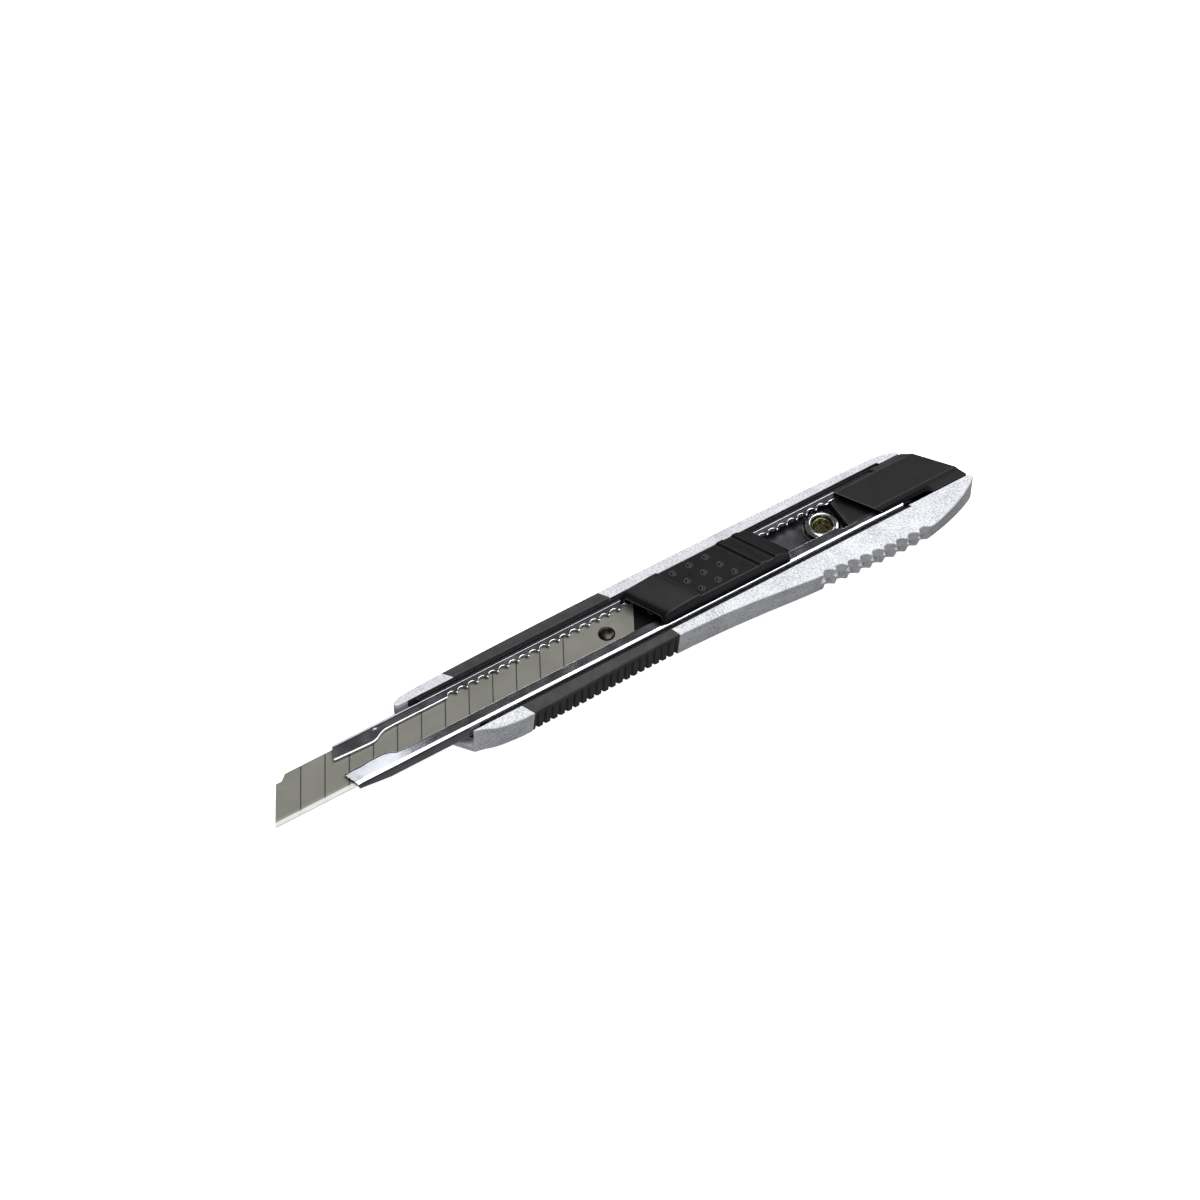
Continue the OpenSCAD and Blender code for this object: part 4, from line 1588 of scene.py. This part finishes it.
@dataclass
class Studio:
    """The pale ground, the soft lights and the camera."""

    lens: float = 138.2
    azimuth: float = -32.07
    elevation: float = 54.08
    camera_at: Point3 = (-204.9, -412.3, 689.0)
    ground_half: float = 3.0
    room_glow: float = 0.085
    under_glow: float = 0.14
    # The soft lights: (name, place, size, power), in metres and watts.
    panels: tuple[tuple[str, Point3, Point2, float], ...] = (
        ("overhead", (0.25, -0.12, 1.1), (1.0, 0.72), 12.5),
        ("butt_side", (1.0, 0.1, 0.8), (0.5, 0.6), 3.2),
        ("front_fill", (-0.75, -1.0, 0.42), (0.8, 0.5), 4.4),
        ("back_strip", (0.45, 1.35, 0.4), (1.2, 0.5), 6.0),
    )

    def back(self) -> Vector:
        """The direction from the knife to the camera."""
        a, e = math.radians(self.azimuth), math.radians(self.elevation)
        return Vector((math.sin(a) * math.cos(e), -math.cos(a) * math.cos(e), math.sin(e)))

    def camera(self) -> None:
        """Sets the camera up."""
        data = bpy.data.cameras.new("camera")
        data.lens = self.lens
        data.sensor_width = 36.0
        data.clip_end = 20.0
        made = bpy.data.objects.new("camera", data)
        bpy.context.scene.collection.objects.link(made)
        made.location = DATUM.metres(self.camera_at)
        made.rotation_euler = self.back().to_track_quat("Z", "Y").to_euler()
        bpy.context.scene.camera = made

    def ground(self, finish: Material) -> None:
        """Lays the ground.

        Args:
            finish: Its material.
        """
        h = self.ground_half
        mesh = bpy.data.meshes.new("ground")
        mesh.from_pydata([(-h, -h, 0), (h, -h, 0), (h, h, 0), (-h, h, 0)], [], [(0, 1, 2, 3)])
        mesh.materials.append(finish)
        made = bpy.data.objects.new("ground", mesh)
        made.location.z = -0.00005
        made.visible_diffuse = False
        made.visible_glossy = False
        bpy.context.scene.collection.objects.link(made)

    def panel(self, name: str, at: Point3, size: Point2, power: float) -> None:
        """Hangs a soft light that faces the knife.

        Args:
            name: The light's name.
            at: Its place in metres.
            size: Its width and height in metres.
            power: Its power in watts.
        """
        data = bpy.data.lights.new(name, "AREA")
        data.shape = "RECTANGLE"
        data.size, data.size_y = size
        data.energy = power
        made = bpy.data.objects.new(name, data)
        made.location = at
        made.rotation_euler = Vector(at).to_track_quat("Z", "Y").to_euler()
        bpy.context.scene.collection.objects.link(made)

    def world(self) -> None:
        """Fills the surroundings with a dim, even light, a little brighter from below."""
        world = bpy.data.worlds.new("surroundings")
        world.use_nodes = True
        tree = world.node_tree
        background = tree.nodes["Background"]
        background.inputs["Color"].default_value = (1.0, 1.0, 1.0, 1.0)
        split = tree.nodes.new("ShaderNodeSeparateXYZ")
        shade = tree.nodes.new("ShaderNodeMapRange")
        numbers = (-0.2, 0.3, self.under_glow, self.room_glow)
        for name, number in zip(("From Min", "From Max", "To Min", "To Max"), numbers):
            shade.inputs[name].default_value = number
        place = tree.nodes.new("ShaderNodeTexCoord").outputs["Generated"]
        tree.links.new(place, split.inputs[0])
        tree.links.new(split.outputs["Z"], shade.inputs["Value"])
        tree.links.new(shade.outputs[0], background.inputs["Strength"])
        bpy.context.scene.world = world

    def build(self, ground: Material) -> None:
        """Builds the studio.

        Args:
            ground: The ground's material.
        """
        self.camera()
        self.ground(ground)
        for name, at, size, power in self.panels:
            self.panel(name, at, size, power)
        self.world()
        bpy.context.scene.view_settings.view_transform = "Standard"


def main() -> None:
    """Builds the knife piece by piece, then the studio."""
    logging.basicConfig(level=logging.INFO, format="%(name)s: %(message)s")
    steel = RolledSteel("channel_steel").make()
    plated = RolledSteel(
        "plated_steel", (0.85, 0.85, 0.84), (0.7, 0.7, 0.68), (0.95, 0.95, 0.95), 0.07, 0.16
    ).make()
    spring_steel = RolledSteel(
        "spring_steel", (0.6, 0.6, 0.62), (0.4, 0.4, 0.42), rough_low=0.14, rough_high=0.26
    ).make()
    dark_pin = RolledSteel(
        "dark_pin", (0.05, 0.045, 0.038), (0.025, 0.022, 0.019), (0.12, 0.11, 0.09), 0.2, 0.32
    ).make()
    rubber = GripRubber().make()
    slider_black = MouldedPlastic("slider_plastic").make()
    cap_black = MouldedPlastic("cap_plastic", rough_low=0.34, rough_high=0.5).make()
    inner_black = MouldedPlastic("black_moulding", rough_low=0.4, rough_high=0.6, shine=0.1).make()

    casting = Casting()
    # The lacquer of the pocket, painted dark as shade between the channel and the walls.
    painted_shade = HammeredLacquer("painted_shade_pocket", (0.06, 0.06, 0.062), (0.03, 0.03, 0.032), (0.1, 0.1, 0.1))
    casting.build(HammeredLacquer().make(), painted_shade.make())
    RubberGrip(Side.EDGE, "edge_side_grip", casting).build(rubber)
    RubberGrip(Side.SPINE, "spine_side_grip", casting).build(rubber)
    # The channel's inner floor: rougher steel, painted dark as shade.
    floor_shade = RolledSteel(
        "channel_floor_shade", (0.1, 0.1, 0.105), (0.045, 0.045, 0.048), (0.2, 0.2, 0.2), 0.3, 0.45
    ).make()
    Channel().build(steel, floor_shade)
    # The screw's bowl: a yellowish tone, painted dark as shade.
    bowl_shade = RolledSteel(
        "bowl_shade_steel", (0.13, 0.12, 0.055), (0.035, 0.031, 0.014), (0.35, 0.33, 0.2), 0.14, 0.26
    ).make()
    PanScrew().build(plated, bowl_shade)
    ThumbPiece().build(slider_black)
    Leaf().build(spring_steel)
    Peg().build(dark_pin)
    EndCap().build(cap_black)
    KeptNodes(
        {
            "channel_cradle": inner_black,
            "channel_rivet": plated,
            "screw_washer": plated,
            "snap_blade": BladeSteel().make(),
            "blade_carrier": inner_black,
            "spring_post": spring_steel,
        }
    ).dress()
    Studio().build(PaleGround().make())


if __name__ == "__main__":
    main()
